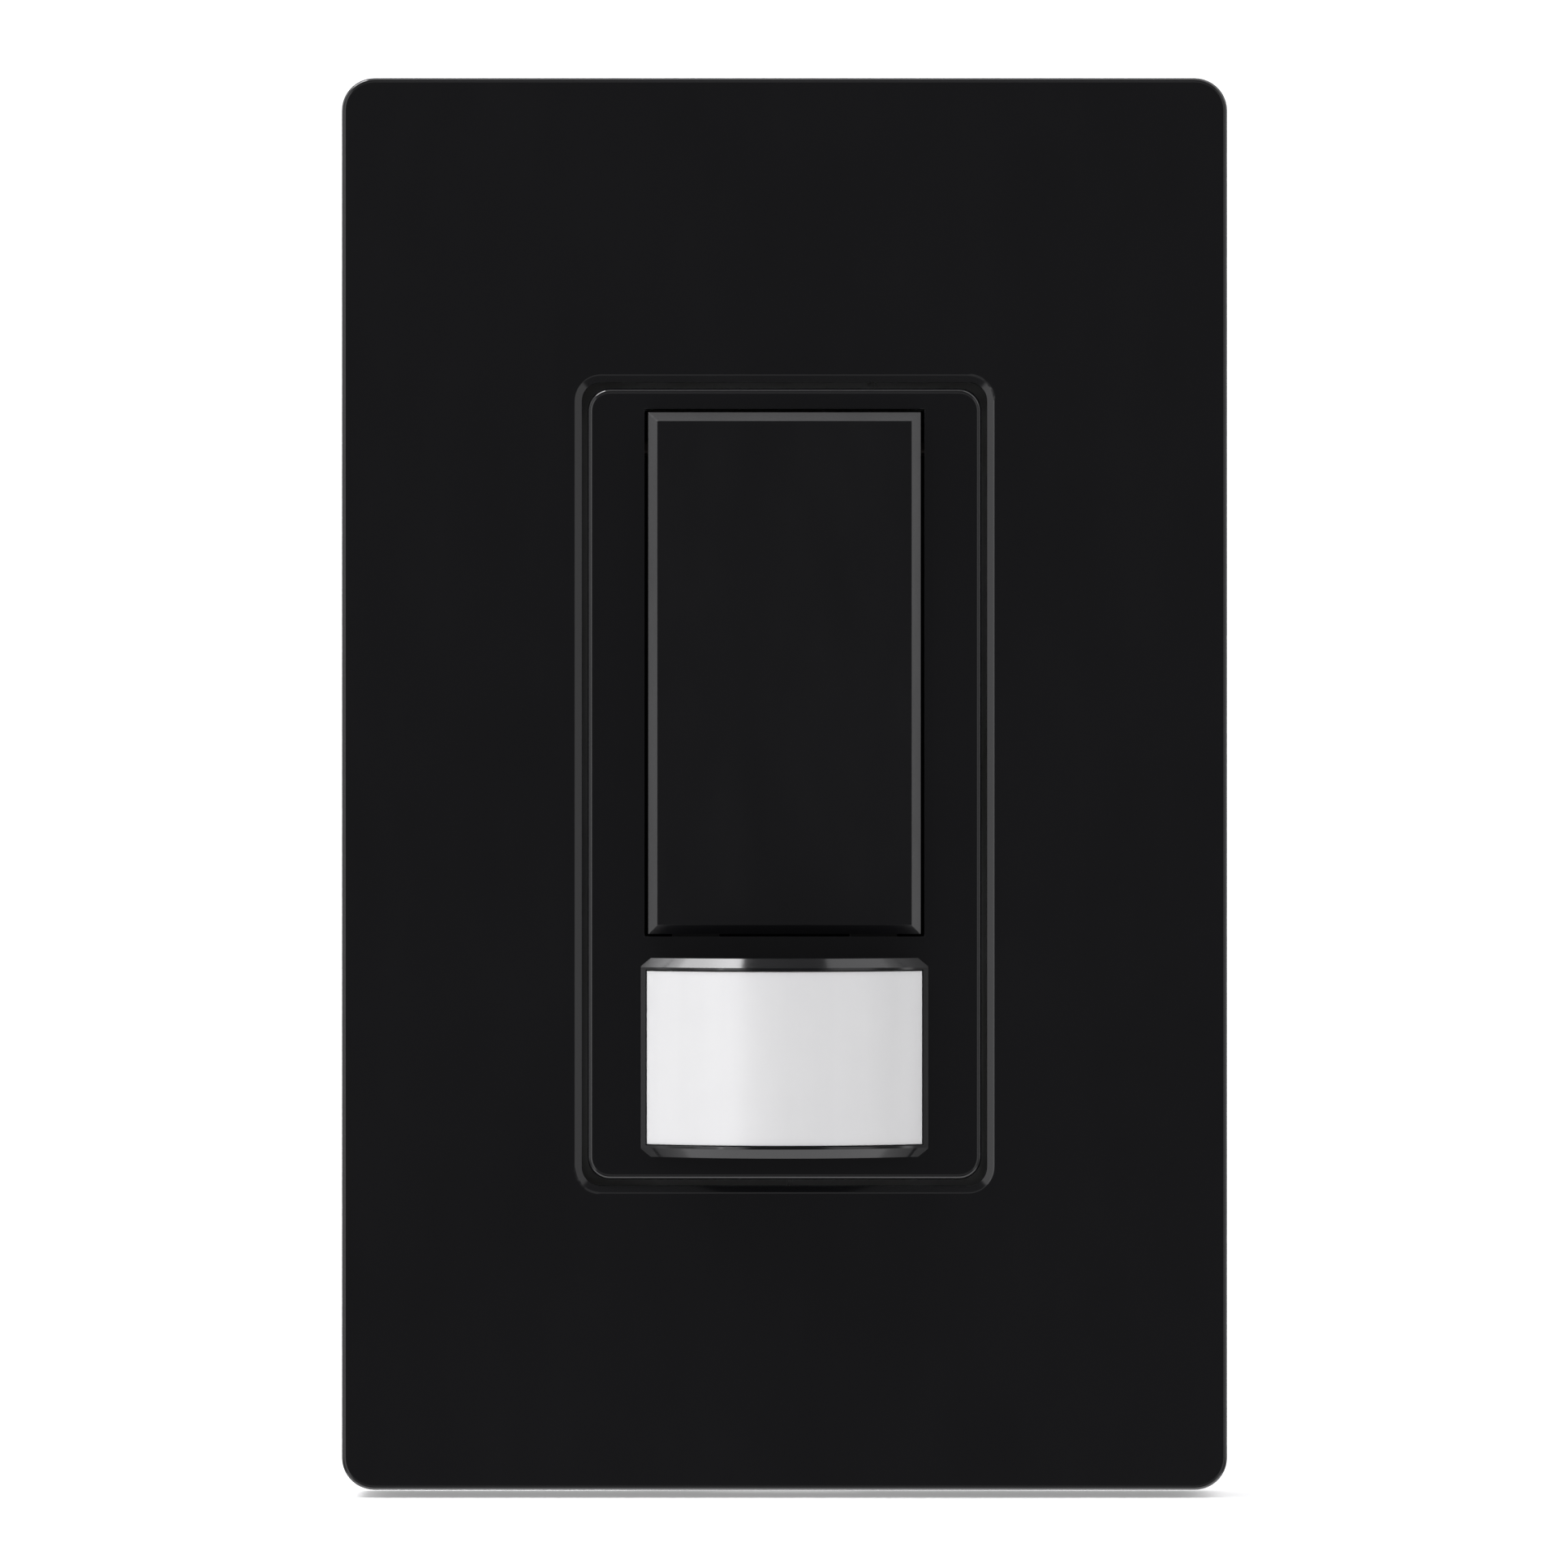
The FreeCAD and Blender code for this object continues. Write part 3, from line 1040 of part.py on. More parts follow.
def make_relay_moving_contact():
    """Blade in front of the armature with a round contact behind it."""
    body = new_body("relay_moving_contact")
    z = dim.relay_z
    pad(body, FRONT, BLADE_Y, 0.25, [
        box(dim.coil_x - 2.4, z - 2.2, dim.contact_x + 1.6, z + 2.2)])
    pad(body, BACK, BLADE_Y - 0.1, dim.contact_len, [(dim.contact_x, z, dim.contact_r)])


def make_relay_fixed_contact():
    body = new_body("relay_fixed_contact")
    tip = BLADE_Y - 0.1 + dim.contact_len + dim.contact_gap
    left, right, inner = dim.contact_x - 1.5, dim.contact_x + 1.5, dim.contact_x + 0.9
    pad(body, UP, dim.relay_z - 2.2, 4.4, [[
        (left, tip + 0.6), (right, tip + 0.6), (right, BASE_TOP), (inner, BASE_TOP),
        (inner, tip + 1.2), (left, tip + 1.2)]])
    pad(body, FRONT, tip + 0.7, 0.7, [(dim.contact_x, dim.relay_z, dim.contact_r)])


def make_relay_return_spring():
    """Flat spring from the outer side of the leg over the hinge to the armature."""
    body = new_body("relay_return_spring")
    inner, thick = LEG_X - dim.gap, 0.2
    back, end, outer, front = BASE_TOP - 3.0, dim.coil_x - 3.0, inner - thick, BLADE_Y - thick
    pad(body, UP, dim.relay_z - 1.6, 3.2, [[
        (inner, back), (inner, BLADE_Y), (end, BLADE_Y), (end, front),
        (outer, front), (outer, back)]])


def make_relay_pins():
    body = new_body("relay_pins")
    pad(body, BACK, POWER_SEAT + 0.01, dim.power_t + 1.1, [
        rect(x, z, 0.4, 0.4) for x, z in RELAY_PIN_PLACES])


# --------------------------------------------- other parts on the power board
def make_bulk_capacitor():
    body = new_body("bulk_capacitor", x=dim.bulk_x, z=dim.bulk_z)
    radius, top = dim.bulk_r, POWER_SEAT - dim.bulk_len
    turned(body, [
        (POWER_SEAT, 0), (POWER_SEAT, radius - 0.4), (POWER_SEAT - 0.4, radius),
        (POWER_SEAT - 2.2, radius), (POWER_SEAT - 2.6, radius - 0.35),
        (POWER_SEAT - 3.0, radius - 0.35), (POWER_SEAT - 3.4, radius),
        (top + 0.4, radius), (top, radius - 0.5), (top, 0)])
    cut(body, BACK, top - 0.5, 0.5 + 0.25, [cross(0.35, radius * 1.3)])


def make_filter_capacitor():
    body = new_body("filter_capacitor")
    pad(body, FRONT, POWER_SEAT, dim.filter_height, [
        rect(dim.filter_x, dim.filter_z, dim.filter_w / 2, dim.filter_deep / 2)])
    round_all_but(body, 0.5, POWER_SEAT)


def make_varistor():
    """A disc facing up and down, on two leads."""
    body = new_body("varistor")
    x, z, centre = dim.varistor_x, dim.varistor_z, POWER_SEAT - dim.varistor_rise
    pad(body, UP, z - dim.varistor_t / 2, dim.varistor_t, [(x, centre, dim.varistor_r)])
    blend(body, "Fillet", 1.1,
          lambda edge: edge.BoundBox.ZLength < 1e-4 and edge.BoundBox.XLength > 5)
    pad(body, BACK, centre + 2.0, dim.power_t + 0.8 + dim.varistor_rise - 2.0, [
        (x + side * dim.varistor_lead_x, z, 0.35) for side in SIDES])


def make_inductor():
    """Flanged core and the winding between its flanges."""
    back, front = POWER_SEAT, POWER_SEAT - dim.inductor_height
    rim, core = dim.inductor_r, dim.inductor_core_r
    body = new_body("inductor_core", x=dim.inductor_x, z=dim.inductor_z)
    turned(body, [
        (back, 0), (back, rim), (back - 1.2, rim), (back - 1.2, core),
        (front + 1.2, core), (front + 1.2, rim), (front, rim), (front, 0)])
    body = new_body("inductor_winding", x=dim.inductor_x, z=dim.inductor_z)
    turned(body, [
        (back - 1.25, core + 0.05), (back - 1.25, rim - 0.6), (back - 1.7, rim - 0.3),
        (front + 1.7, rim - 0.3), (front + 1.25, rim - 0.6), (front + 1.25, core + 0.05)])


def make_bridge_rectifier():
    body = new_body("bridge_rectifier")
    pad(body, FRONT, POWER_SEAT, dim.rectifier_t, [
        rect(dim.rectifier_x, dim.rectifier_z, dim.rectifier_w / 2, dim.rectifier_deep / 2)])
    blend_plane(body, "Chamfer", 0.4, POWER_SEAT - dim.rectifier_t)


def make_fuse_resistor():
    """A barrel along X with rounded ends, then two bent leads."""
    body = new_body("fuse_resistor", z=dim.fuse_z)
    x, y = dim.fuse_x, POWER_SEAT - dim.fuse_rise
    pad(body, RIGHT, x - dim.fuse_len / 2, dim.fuse_len, [(y, 0, dim.fuse_r)])
    blend(body, "Fillet", 0.6,
          lambda edge: edge.BoundBox.XLength < 1e-4 and edge.BoundBox.YLength > 1)
    pad(body, RIGHT, x - FUSE_REACH, FUSE_REACH * 2, [(y, 0, 0.3)])
    pad(body, BACK, y - 0.55, dim.fuse_rise + dim.power_t + 1.2, [
        (x + side * FUSE_REACH, 0, 0.38) for side in SIDES])


# ---------------------------------------- parts on the rear of the control board
REAR_SEAT = dim.board_y + dim.board_t + dim.gap
# bent lead outline: y behind the board, distance beyond the chip's side
LEAD = ((0, 1.4), (0, 0.5), (1.0, 0.02), (1.2, 0.02), (1.2, 0.25), (0.25, 0.7), (0.25, 1.4))


def make_microcontroller():
    body = new_body("microcontroller")
    seat = REAR_SEAT + dim.mcu_lift
    pad(body, BACK, seat, dim.mcu_t, [rect(0, dim.mcu_z, dim.mcu_w / 2, dim.mcu_deep / 2)])
    blend_plane(body, "Chamfer", 0.25, seat + dim.mcu_t)


def make_microcontroller_leads():
    body = new_body("microcontroller_leads")
    leads = [
        pad(body, RIGHT, -(dim.mcu_w / 2) + dim.lead_start, dim.lead_w, [[
            (REAR_SEAT + y, dim.mcu_z + side * (dim.mcu_deep / 2 + z)) for y, z in LEAD]])
        for side in (1, -1)]
    row_of(body, leads, "X_Axis", 10, dim.lead_pitch * 9)


def make_link_header():
    body = new_body("link_header")
    z, hole = dim.header_z, dim.link_half + dim.gap
    pad(body, BACK, REAR_SEAT, dim.header_t, [
        rect(0, z, dim.header_w / 2, dim.header_deep / 2)] + [
        rect(x, z, hole, hole) for x in LINK_X])


def make_link_pins():
    body = new_body("link_pins", x=-(dim.link_pitch * 2.5))
    link = pad(body, BACK, REAR_SEAT, dim.link_end - REAR_SEAT, [
        rect(0, dim.header_z, dim.link_half, dim.link_half)])
    row_of(body, [link], "X_Axis", 6, dim.link_pitch * 5)


def make_chip_parts():
    body = new_body("chip_parts", z=-dim.chip_z)
    chip = pad(body, BACK, REAR_SEAT, dim.chip_t, [
        box(dim.chip_left, -dim.chip_half, dim.chip_right, dim.chip_half)])
    row_of(body, [chip], "X_Axis", 3, dim.chip_span_x, second=("Z_Axis", 2, dim.chip_span_z))


# ------------------------------------------------------------------ build all
for make in (
    make_wall_plate, make_plate_adapter, make_yoke, make_mounting_screws, make_adapter_screws,
    make_screw_retainers, make_ground_screw, make_bezel, make_lens, make_paddle, make_hinge_pin,
    make_paddle_springs, make_tray, make_control_board, make_tact_base, make_tact_cover,
    make_tact_plunger, make_tact_dome, make_shroud, make_pir, make_pir_window,
):
    make()
make_round_top("status_led", dim.led_x)
make_round_top("light_sensor", -dim.led_x)
make_back_housing()
make_housing_screws()
make_power_board()
for group in (HOT, NEUTRAL):
    make_terminal_plate(group)
    make_clamp_plate(group)
    make_terminal_screw(group)
for make in (
    make_relay_base, make_relay_case, make_relay_yoke, make_relay_core, make_relay_bobbin,
    make_relay_winding, make_relay_armature, make_relay_moving_contact,
    make_relay_fixed_contact, make_relay_return_spring, make_relay_pins,
    make_bulk_capacitor, make_filter_capacitor, make_varistor, make_inductor,
    make_bridge_rectifier, make_fuse_resistor, make_microcontroller,
    make_microcontroller_leads, make_link_header, make_link_pins, make_chip_parts,
):
    make()
doc.recompute()

problems = [
    f"{item.Name}: {item.State}" for item in doc.Objects
    if "Invalid" in item.State or "Error" in item.State]
for piece in pieces:
    shape = piece.Shape
    if shape.isNull() or not shape.isValid() or not shape.Solids:
        problems.append(f"{piece.Label}: shape null, invalid or without solids")
if problems:
    raise SystemExit("problems:\n" + "\n".join(problems))

os.makedirs("parts", exist_ok=True)
for piece in pieces:
    piece.Shape.exportStep(os.path.join("parts", piece.Label + ".step"))
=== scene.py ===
"""A wall-mounted motion-sensor switch: a black plate and paddle with a milky curved lens.

It stands upright, centred on the origin: +X is right and +Z up as the camera sees it, and the
front faces -Y. The CAD pieces get materials; screws, springs and lens facets are built here.
Lengths are metres unless a comment says millimetres.
"""
import json
import math

import bmesh
import bpy
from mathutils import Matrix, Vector


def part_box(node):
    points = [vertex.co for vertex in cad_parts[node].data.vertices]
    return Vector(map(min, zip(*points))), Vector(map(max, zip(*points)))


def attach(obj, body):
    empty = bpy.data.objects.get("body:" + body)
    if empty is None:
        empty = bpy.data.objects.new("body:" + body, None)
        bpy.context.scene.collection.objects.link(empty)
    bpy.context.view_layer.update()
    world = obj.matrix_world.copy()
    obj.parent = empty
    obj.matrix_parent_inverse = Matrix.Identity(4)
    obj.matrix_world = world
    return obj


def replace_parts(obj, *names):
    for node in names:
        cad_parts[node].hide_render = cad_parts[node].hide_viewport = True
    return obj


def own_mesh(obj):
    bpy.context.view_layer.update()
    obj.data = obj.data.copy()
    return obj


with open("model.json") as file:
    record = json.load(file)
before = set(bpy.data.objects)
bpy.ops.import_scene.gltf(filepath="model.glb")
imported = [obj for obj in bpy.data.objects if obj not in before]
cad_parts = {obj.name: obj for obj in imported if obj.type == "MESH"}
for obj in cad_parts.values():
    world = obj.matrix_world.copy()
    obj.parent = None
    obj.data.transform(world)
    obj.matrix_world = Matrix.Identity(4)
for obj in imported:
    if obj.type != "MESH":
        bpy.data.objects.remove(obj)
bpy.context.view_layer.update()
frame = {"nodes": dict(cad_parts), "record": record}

MM = 0.001


# ---------------------------------------------------------------- node graphs
class Graph:
    """Builds shader nodes. Values given to inputs are plain values or sockets to link."""

    def __init__(self, tree):
        self.tree = tree
        tree.nodes.clear()

    def put(self, socket, value):
        """Links or sets one input; None leaves it alone."""
        if isinstance(value, bpy.types.NodeSocket):
            self.tree.links.new(value, socket)
        elif value is not None:
            socket.default_value = value

    def feed(self, node, **inputs):
        """Fills inputs by name, with _ for a space."""
        for name, value in inputs.items():
            self.put(node.inputs[name.replace("_", " ")], value)
        return node

    def fill(self, node, *values):
        """Fills inputs by position."""
        for index, value in enumerate(values):
            self.put(node.inputs[index], value)
        return node

    def add(self, kind, settings=None, **inputs):
        node = self.tree.nodes.new("ShaderNode" + kind)
        for name, value in (settings or {}).items():
            setattr(node, name, value)
        return self.feed(node, **inputs)

    def math(self, operation, a, b=0.0):
        return self.fill(self.add("Math", {"operation": operation}), a, b).outputs[0]

    def span(self, source, low=0.0, high=1.0, start=0.0, end=1.0, curve="LINEAR"):
        """Maps start..end to low..high."""
        return self.add("MapRange", {"interpolation_type": curve}, Value=source, From_Min=start,
                        From_Max=end, To_Min=low, To_Max=high).outputs[0]


MATERIALS = {}


class Material(Graph):
    """A principled material, listed in MATERIALS under its name."""

    def __init__(self, name):
        material = bpy.data.materials.new(name)
        material.use_nodes = True
        super().__init__(material.node_tree)
        output = self.add("OutputMaterial")
        self.bsdf = self.add("BsdfPrincipled")
        self.feed(output, Surface=self.bsdf.outputs[0])
        self.coord = self.add("TexCoord").outputs["Object"]
        MATERIALS[name] = material

    def surface(self, **inputs):
        self.feed(self.bsdf, **inputs)

    def mapped(self, **inputs):
        return self.add("Mapping", Vector=self.coord, **inputs).outputs[0]

    def noise(self, scale, detail=4.0, rough=0.55, stretch=None):
        vector = self.mapped(Scale=stretch) if stretch else self.coord
        return self.add("TexNoise", Vector=vector, Scale=scale, Detail=detail,
                        Roughness=rough).outputs["Fac"]

    def mix(self, factor, first, second, blend="MIX"):
        """Mixes two colours, each a socket or red, green and blue."""
        first, second = ((*c, 1) if isinstance(c, tuple) else c for c in (first, second))
        return self.add("Mix", {"data_type": "RGBA", "blend_type": blend}, Factor=factor,
                        A=first, B=second).outputs["Result"]

    def bump(self, height, strength, distance, under=None):
        return self.add("Bump", Strength=strength, Distance=distance, Height=height,
                        Normal=under).outputs["Normal"]

    def soft_edges(self, radius):
        return self.add("Bevel", {"samples": 4}, Radius=radius).outputs["Normal"]


def shade(color, factor):
    return tuple(min(1.0, x * factor) for x in color)


# ------------------------------------------------------------------ materials
def plastic(name, color, rough=0.35, rough_vary=0.06, grain=1400.0, depth=6e-6, spec=0.5,
            vary=0.12, edge=0.00012, coat=0.0, cells=None, sss=0.0):
    """Moulded plastic: fine grain, slow drift in colour and gloss, slightly broken edges.

    grain and cells are texture scales, depth is the height of the grain."""
    m = Material(name)
    drift = m.noise(scale=60.0, detail=3.0)
    tint = m.mix(m.span(drift, start=0.3, end=0.7), shade(color, 1 - vary), shade(color, 1 + vary))
    smear = m.noise(scale=220.0, detail=5.0, rough=0.6, stretch=(1.0, 1.0, 0.35))
    gloss = m.span(smear, low=max(0.02, rough - rough_vary), high=rough + rough_vary,
                   start=0.3, end=0.7)
    fine = m.noise(scale=grain * 2.2, detail=2.0, rough=0.5)
    normal = m.soft_edges(edge) if edge else None
    if cells:
        cell = m.add("TexVoronoi", Vector=m.coord, Scale=cells, Detail=4.0, Roughness=0.55)
        normal = m.bump(cell.outputs["Distance"], strength=0.35, distance=depth * 2.0,
                        under=normal)
    normal = m.bump(fine, strength=0.5, distance=depth, under=normal)
    m.surface(Base_Color=tint, Roughness=gloss, Normal=normal, Specular_IOR_Level=spec,
              Coat_Weight=coat, Coat_Roughness=0.1)
    if sss:
        m.surface(Subsurface_Weight=sss, Subsurface_Scale=0.001,
                  Subsurface_Radius=(1.0, 0.9, 0.8))


def metal(name, color, rough=0.3, brush=(1.0, 1.0, 1.0), tarnish=None):
    """Plated or drawn metal: brushing along one axis, slow tint changes and tiny pits."""
    m = Material(name)
    drift = m.noise(scale=90.0)
    tint = m.mix(m.span(drift, start=0.35, end=0.75), shade(color, 1.03),
                 tarnish or shade(color, 0.8))
    line = m.noise(scale=500.0, rough=0.6, stretch=brush)
    gloss = m.span(line, low=max(0.04, rough - 0.1), high=rough + 0.14, start=0.3, end=0.7)
    speck = m.noise(scale=2600.0, detail=2.0)
    brushed = m.bump(line, strength=0.25, distance=8e-6, under=m.soft_edges(radius=0.0001))
    pitted = m.bump(speck, strength=0.35, distance=4e-6, under=brushed)
    m.surface(Base_Color=tint, Roughness=gloss, Normal=pitted, Metallic=1.0)


def board(name):
    """Green solder mask with a checked weave and a pale, raised brick pattern."""
    m = Material(name)
    weave = m.add("TexChecker", Vector=m.mapped(Scale=(2400.0, 0.0, 2400.0)), Scale=1.0)
    upright = m.mapped(Rotation=(math.pi / 2, 0, 0), Scale=(260.0, 260.0, 260.0))
    brick = m.add("TexBrick", Vector=upright, Scale=1.0, Mortar_Size=0.06,
                  Color1=(0.010, 0.090, 0.035, 1), Color2=(0.013, 0.105, 0.042, 1),
                  Mortar=(0.030, 0.190, 0.070, 1))
    tint = m.mix(0.25, brick.outputs["Color"], weave.outputs["Color"], blend="MULTIPLY")
    gloss = m.span(m.noise(scale=160.0, detail=3.0), low=0.18, high=0.32)
    normal = m.bump(brick.outputs["Fac"], strength=0.4, distance=0.00002,
                    under=m.soft_edges(radius=0.00015))
    m.surface(Base_Color=tint, Roughness=gloss, Normal=normal, Coat_Weight=0.4,
              Coat_Roughness=0.12)


def winding(name, color, axis, pitch):
    """Enamelled wire wound round an axis: rounded ridges at the wire's pitch, with painted shade
    in the grooves and a painted highlight on the crests.
    """
    band_period = 0.31416  # length of one band at scale 1
    m = Material(name)
    wave = m.add("TexWave", {"wave_type": "BANDS", "bands_direction": axis,
                             "wave_profile": "SIN"},
                 Vector=m.coord, Scale=band_period / pitch, Distortion=0.15,
                 Detail=1.0).outputs["Fac"]
    # painted shade in the grooves between turns and painted highlight on the crests
    tint = m.mix(wave, shade(color, 0.35), shade(color, 1.15))
    gloss = m.span(m.noise(scale=500.0), low=0.2, high=0.38)
    normal = m.bump(wave, strength=0.8, distance=pitch * 0.45)
    m.surface(Base_Color=tint, Roughness=gloss, Normal=normal, Metallic=0.75,
              Coat_Weight=0.5, Coat_Roughness=0.12)


def clear(name, color, rough=0.05, transmission=0.85, ior=1.5):
    """Clear or smoked epoxy and window glass."""
    m = Material(name)
    drift = m.noise(scale=900.0, detail=3.0)
    m.surface(Base_Color=m.mix(drift, shade(color, 0.94), color),
              Roughness=m.span(drift, low=rough, high=rough + 0.05),
              Normal=m.bump(drift, strength=0.08, distance=3e-6),
              Transmission_Weight=transmission, IOR=ior)


def milky_lens(name):
    """Milky polyethylene: satin outside, with light carried inside."""
    m = Material(name)
    drift = m.noise(scale=140.0, detail=3.0)
    tint = m.mix(m.span(drift, start=0.3, end=0.7), (0.884, 0.884, 0.888), (0.912, 0.912, 0.912))
    # slow flow marks running down the moulding
    flow = m.noise(scale=420.0, detail=3.0, rough=0.5, stretch=(1.0, 0.2, 0.06))
    tint = m.mix(m.span(flow, start=0.35, end=0.65), tint, (0.985, 0.985, 0.985),
                 blend="MULTIPLY")
    # painted shade: the colour darkens towards the left end and over the right side, where the
    # curved lens turns away from the light
    place = m.add("TexCoord").outputs["Object"]
    across = m.add("SeparateXYZ", Vector=place).outputs["X"]
    ends = m.math("ADD", m.span(across, start=-0.002, end=0.009),
                  m.span(across, low=1.0, high=0.0, start=-0.012, end=-0.003))
    tint = m.mix(ends, tint, (0.94, 0.94, 0.94), blend="MULTIPLY")
    fine = m.noise(scale=5200.0, detail=2.0)
    m.surface(Base_Color=tint, Roughness=m.span(fine, low=0.20, high=0.26),
              Normal=m.bump(fine, strength=0.12, distance=3e-6,
                            under=m.soft_edges(radius=0.00012)),
              Specular_IOR_Level=0.5, Subsurface_Weight=0.35, Subsurface_Scale=0.0008,
              Subsurface_Radius=(1.0, 1.0, 1.0))


def fibre(name):
    """Brown fibre sheet with strands drawn out along Z."""
    m = Material(name)
    strands = m.noise(scale=900.0, detail=6.0, rough=0.7, stretch=(1.0, 1.0, 0.18))
    m.surface(Base_Color=m.mix(strands, (0.30, 0.19, 0.10), (0.56, 0.40, 0.24)),
              Roughness=m.span(strands, low=0.6, high=0.85),
              Normal=m.bump(strands, strength=0.5, distance=0.00002,
                            under=m.soft_edges(radius=0.0001)))


BLACK = (0.0062, 0.0062, 0.0070)

# front of the device
plastic("plate_plastic", BLACK, rough=0.14, grain=1500, depth=1.2e-6, edge=0, vary=0.06,
        rough_vary=0.03)
plastic("bezel_plastic", BLACK, rough=0.11, grain=1800, depth=8e-7, edge=0.00004, vary=0.06,
        rough_vary=0.02)
plastic("paddle_plastic", shade(BLACK, 0.97), rough=0.19, grain=1900, depth=1.4e-6,
        edge=0.00006, vary=0.06, rough_vary=0.03)
milky_lens("lens_plastic")

# body and metalwork
plastic("inner_black_plastic", (0.008, 0.008, 0.0085), spec=0.3, rough=0.5, grain=900,
        depth=1e-5, cells=1500)
plastic("housing_plastic", (0.013, 0.013, 0.014), rough=0.42, grain=800, depth=1.2e-5,
        cells=1300, edge=0.0002)
metal("yoke_steel", (0.43, 0.435, 0.44), rough=0.34, brush=(1.0, 1.0, 0.05),
      tarnish=(0.35, 0.35, 0.33))
metal("screw_steel", (0.39, 0.39, 0.38), rough=0.28, tarnish=(0.27, 0.27, 0.255))
metal("spring_steel", (0.55, 0.55, 0.54), rough=0.2)
metal("dark_steel", (0.02, 0.02, 0.021), rough=0.45, tarnish=(0.03, 0.022, 0.018))
metal("brass", (0.50, 0.345, 0.135), rough=0.26, tarnish=(0.36, 0.235, 0.08))
metal("silver_metal", (0.46, 0.455, 0.435), rough=0.24)
metal("ground_green", (0.05, 0.34, 0.10), rough=0.3, tarnish=(0.03, 0.22, 0.07))

# circuit board and its components
board("board_green")
plastic("component_black", (0.02, 0.02, 0.021), rough=0.5, grain=1400, depth=1.4e-5, cells=2600)
metal("tin", (0.50, 0.50, 0.49), rough=0.3)
metal("can_metal", (0.48, 0.47, 0.45), rough=0.2, brush=(1.0, 0.06, 1.0))
clear("filter_glass", (0.06, 0.045, 0.06), rough=0.08, transmission=0.2, ior=2.2)
clear("led_clear", (0.92, 0.90, 0.88))
clear("sensor_dark", (0.05, 0.03, 0.06), transmission=0.5)
plastic("relay_shell", (0.02, 0.10, 0.36), rough=0.28, grain=1200, depth=6e-6, coat=0.2)
winding("copper_wire", (0.62, 0.25, 0.09), axis="Y", pitch=0.00022)
plastic("bobbin_white", (0.72, 0.70, 0.64), rough=0.45, sss=0.1)
metal("soft_iron", (0.46, 0.46, 0.45), rough=0.36)
plastic("cap_sleeve", (0.012, 0.016, 0.03), rough=0.22, grain=500, depth=1e-5, coat=0.3)
plastic("cap_yellow", (0.74, 0.50, 0.05), rough=0.3, grain=1000, depth=8e-6)
plastic("varistor_blue", (0.03, 0.13, 0.36), rough=0.2, grain=350, depth=3e-5, coat=0.5)
plastic("ferrite", (0.045, 0.042, 0.042), rough=0.55, grain=1600, depth=2e-5, cells=3000)
plastic("fuse_body", (0.07, 0.20, 0.18), rough=0.3, grain=500, depth=1e-5, coat=0.3)
fibre("retainer_fibre")


def dress_cad_pieces():
    slots = {s["node"]: s["material_slot"] for s in frame["record"]["subparts"]}
    for name, obj in frame["nodes"].items():
        material = MATERIALS[slots[name]]
        if obj.material_slots:
            for slot in obj.material_slots:
                slot.material = material
        else:
            obj.data.materials.append(material)


dress_cad_pieces()


# --------------------------------------------------------------- mesh helpers
def add_object(name, bm):
    mesh = bpy.data.meshes.new(name)
    bm.to_mesh(mesh)
    bm.free()
    obj = bpy.data.objects.new(name, mesh)
    bpy.context.scene.collection.objects.link(obj)
    return obj


def smooth_and_dress(obj, material):
    obj.data.materials.append(material)
    for face in obj.data.polygons:
        face.use_smooth = True


def mark_sharp(mesh, degrees):
    """Makes edges at or above the angle sharp and the others smooth."""
    bm = bmesh.new()
    bm.from_mesh(mesh)
    for edge in bm.edges:
        if len(edge.link_faces) == 2:
            edge.smooth = edge.calc_face_angle(0.0) < math.radians(degrees)
    bm.to_mesh(mesh)
    bm.free()


def device_piece(name, bm, slot, sharp=35):
    """A piece fixed to the device, in the material of its slot."""
    bm.normal_update()
    obj = add_object(name, bm)
    smooth_and_dress(obj, MATERIALS[slot])
    mark_sharp(obj.data, sharp)
    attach(obj, "device")
    return obj


def skin_rings(rings):
    """Joins closed rings of points into a tube with capped ends."""
    bm = bmesh.new()
    rows = [[bm.verts.new(point) for point in ring] for ring in rings]
    for a, b in zip(rows, rows[1:]):
        count = len(a)
        for k in range(count):
            bm.faces.new((a[k], a[(k + 1) % count], b[(k + 1) % count], b[k]))
    bm.faces.new(list(reversed(rows[0])))
    bm.faces.new(rows[-1])
    bmesh.ops.recalc_face_normals(bm, faces=bm.faces)
    return bm


def cutter_box(low, high):
    """A box between two corners in millimetres."""
    low, high = [v * MM for v in low], [v * MM for v in high]
    bm = bmesh.new()
    bmesh.ops.create_cube(bm, size=1.0)
    center = [(a + b) / 2 for a, b in zip(low, high)]
    size = [b - a for a, b in zip(low, high)]
    for v in bm.verts:
        v.co = Vector([v.co[i] * size[i] + center[i] for i in range(3)])
    return add_object("cutter", bm)


def cut_boxes(obj, boxes):
    """Cuts boxes out of the object, with the modifiers applied."""
    cutters = [cutter_box(low, high) for low, high in boxes]
    for cutter in cutters:
        cut = obj.modifiers.new("cut", "BOOLEAN")
        cut.operation = "DIFFERENCE"
        cut.solver = "EXACT"
        cut.object = cutter
    bpy.context.view_layer.update()
    graph = bpy.context.evaluated_depsgraph_get()
    mesh = bpy.data.meshes.new_from_object(obj.evaluated_get(graph))
    obj.modifiers.clear()
    obj.data = mesh
    for cutter in cutters:
        bpy.data.objects.remove(cutter)


# ------------------------------------------------- threaded screws (millimetres)
PITCH = 0.794         # 32 turns to the inch
RINGS_PER_TURN = 10
THREAD_SHORT = 0.2    # the thread stops this far before the tip
BOX_SCREW_Z = 41.67   # screw heights above and below the centre
ADAPTER_SCREW_Z = 48.42

# (distance behind the front of the head, radius)
BOX_HEAD = [(0, 0.01), (0.03, 0.9), (0.16, 1.75), (0.45, 2.45), (0.85, 2.98), (1.25, 3.22),
            (1.5, 3.29)]
ADAPTER_HEAD = [(0, 0.01), (0, 2.4), (0.03, 2.68), (0.1, 2.74), (0.16, 2.72), (1.1, 1.78),
                (1.25, 1.66)]
